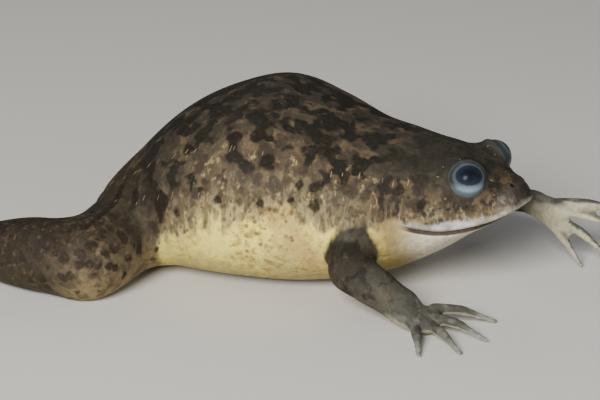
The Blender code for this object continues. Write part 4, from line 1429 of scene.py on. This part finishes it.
# %% The skin's grain, relief and gloss
grain = hide.noise(hide.stretched(place, (1.0, 1.0, 0.7)), 950.0, 4.0, 0.6)
hide.colour = hide.vector("SCALE", {0: hide.colour, 3: grain * 0.9 + 0.55})
pores = hide.noise(place, 2200.0, 3.0, 0.6)
swell = hide.noise(place, 380.0, 3.0, 0.55)
wrinkles = hide.noise(hide.stretched(place, (1.0, 1.0, 0.4)), 700.0, 3.0, 0.6)
relief = pores * 0.2 + swell * 0.5 + wrinkles * 0.45
gloss = 0.58 + (swell - 0.5) * 0.35
hide.finish(
    gloss, hide.bump(relief, 0.0006, 0.6),
    Coat_Weight=0.01, Coat_Roughness=0.13, Specular_IOR_Level=0.035,
)
hide.put_on(skin)
print("skin painted with", len(hide.tree.nodes), "nodes")

# %% [markdown]
# ### Eyes
#
# The eye's colours are rings by the angle from where it looks: a dark disc, a pale blue-grey
# ring and a darker edge. Rings by angle stay round on the ball, where rings drawn on a flat
# picture would stretch. The ring is palest below.

# %% Eye
eye_paint = Paint("glassy eye")
below = eye_paint.number("rise").step(0.16, -0.30)
streak = eye_paint.noise(eye_paint.place(), 1500.0)
wobble = eye_paint.number("from_pupil") + (streak - 0.5) * 3.0
ring_tint = eye_paint.mix(below, (0.062, 0.082, 0.092), (0.205, 0.287, 0.350))
edge_tint = eye_paint.mix(below, (0.030, 0.035, 0.036), (0.098, 0.126, 0.142))
eye_paint.colour = eye_paint.mix(wobble.step(8.0, 40.0), (0.006, 0.009, 0.015), (0.017, 0.024, 0.037))
eye_paint.lay(wobble.step(33.5, 40.5), ring_tint)
eye_paint.lay((wobble + (1 - below) * 8.0).step(52.0, 66.0), edge_tint)
eye_paint.finish(0.24, Coat_Weight=0.02, Coat_Roughness=0.14, Specular_IOR_Level=0.05)
eye_paint.put_on(*eyeballs)
print(len(eyeballs), "eyes painted")

# %% [markdown]
# ### Webs, claws and stitches
#
# The web is skin drawn thin: a little paler towards its edge, with blots and a net of fine
# veins, which are the borders between cells. The claws are black horn, worn brown in places.
# The stitches are paler than the flank around them, less so towards the rear.

# %% Web
web_paint = Paint("thin web")
place = web_paint.place()
web_paint.colour = web_paint.mix(
    web_paint.number("reach").step(0.2, 1.0), (0.105, 0.088, 0.066), (0.155, 0.135, 0.105)
)
web_paint.lay(web_paint.marks(place, 210.0, 0.50, 0.60) * 0.6, (0.050, 0.040, 0.032))
veins = web_paint.cells(web_paint.shifted(place, 0.002, 300.0), 330.0, "DISTANCE_TO_EDGE")
web_paint.lay(veins.step(0.06, 0.0) * 0.35, (0.20, 0.12, 0.09))
web_bump = web_paint.bump(web_paint.noise(place, 1400.0), 0.00015, 0.5)
web_paint.finish(0.5, web_bump, Coat_Weight=0.04, Coat_Roughness=0.2, Specular_IOR_Level=0.15)
web_paint.put_on(*both_webs)
print(len(both_webs), "pairs of webs painted")

# %% Claw
horn_paint = Paint("black horn")
wear = horn_paint.noise(horn_paint.place(), 1800.0)
horn_paint.colour = horn_paint.mix(wear.step(0.4, 0.7), (0.012, 0.010, 0.009), (0.035, 0.028, 0.022))
horn_paint.finish(0.25 + wear * 0.2, Coat_Weight=0.2)
horn_paint.put_on(*horns)
print(len(horns), "claws painted")

# %% Stitch
stitch_paint = Paint("pale stitch")
place = stitch_paint.place()
shade = stitch_paint.marks(place, 300.0, 0.35, 0.65, 2.0)
stitch_paint.colour = stitch_paint.mix(shade, (0.09, 0.072, 0.040), (0.24, 0.195, 0.105))
behind = stitch_paint.coordinate(place, 0).step(0.0, -0.022)
stitch_paint.lay(behind * 0.65, (0.075, 0.060, 0.036))
stitch_paint.finish(0.5, Coat_Weight=0.05, Specular_IOR_Level=0.15)
stitch_paint.put_on(stitches)
print("stitches painted")

# %% [markdown]
# ## Floor, light and camera
#
# A plain pale floor and large soft lights, as in a studio. The floor curves up into a wall, so
# no line shows behind the frog. The camera looks from the frog's front right and slightly
# above, half a metre away.


# %% Floor and backdrop
def backdrop(width, depth, height, bend):
    """A floor that curves up into a wall: a profile of a line, a quarter round and a line."""
    a = np.linspace(0, np.pi / 2, 16)
    y = np.concatenate([[-depth], depth - bend + bend * np.sin(a), [depth]])
    z = np.concatenate([[0.0], bend - bend * np.cos(a), [height]])
    x = np.array([-width, width])
    corners = np.broadcast_arrays(x[None], y[:, None], z[:, None])
    return np.stack(corners, axis=2), grid_faces(len(y), len(x), 0)


coords, faces = backdrop(3.0, 2.2, 2.5, 0.8)
floor = new_piece("floor", coords, faces[:, ::-1].tolist())
floor.data.shade_smooth()
floor_paint = Paint("pale floor")
floor_paint.colour = (0.62, 0.61, 0.59, 1.0)
floor_paint.finish(0.75)
floor_paint.put_on(floor)
print("floor of", len(faces), "faces")

# %% Soft lights
LIT_POINT = Vector((0, 0, 0.02))


def soft_light(name, place, size, power, tint):
    """A round area light that looks at the frog."""
    light = bpy.data.lights.new(name, "AREA")
    light.shape = "DISK"
    light.size = size
    light.energy = power
    light.color = tint
    made = linked(name, light)
    made.location = place
    made.rotation_euler = (LIT_POINT - Vector(place)).to_track_quat("-Z", "Y").to_euler()


soft_light("key", (0.10, -0.86, 0.52), 0.45, 18.0, (1.0, 0.97, 0.91))
soft_light("fill", (0.85, -0.30, 0.30), 0.6, 1.4, (0.92, 0.96, 1.0))
soft_light("back", (-0.35, 0.6, 0.6), 0.5, 0.7, (1.0, 1.0, 1.0))
world = bpy.data.worlds.new("soft room")
bpy.context.scene.world = world
world.use_nodes = True
room = world.node_tree.nodes["Background"].inputs
room["Color"].default_value = (0.80, 0.83, 0.86, 1.0)
room["Strength"].default_value = 0.13
print(len(bpy.data.lights), "lights")

# %% Camera
AZIMUTH, ELEVATION = math.radians(25.0), math.radians(20.0)
DISTANCE, SENSOR_MM = 0.5, 36.0
FOCAL_PX, IMAGE_PX = 2100.0, 600.0
target = Vector((0.0024, 0.0, 0.0152))
back_way = Vector((
    math.sin(AZIMUTH) * math.cos(ELEVATION),
    -math.cos(AZIMUTH) * math.cos(ELEVATION),
    math.sin(ELEVATION),
))
camera_data = bpy.data.cameras.new("camera")
camera_data.sensor_width = SENSOR_MM
camera_data.lens = SENSOR_MM * FOCAL_PX / IMAGE_PX
camera = linked("camera", camera_data)
camera.location = target + back_way * DISTANCE
camera.rotation_euler = (-back_way).to_track_quat("-Z", "Y").to_euler()
bpy.context.scene.camera = camera
print("lens", round(camera_data.lens, 1), "mm")
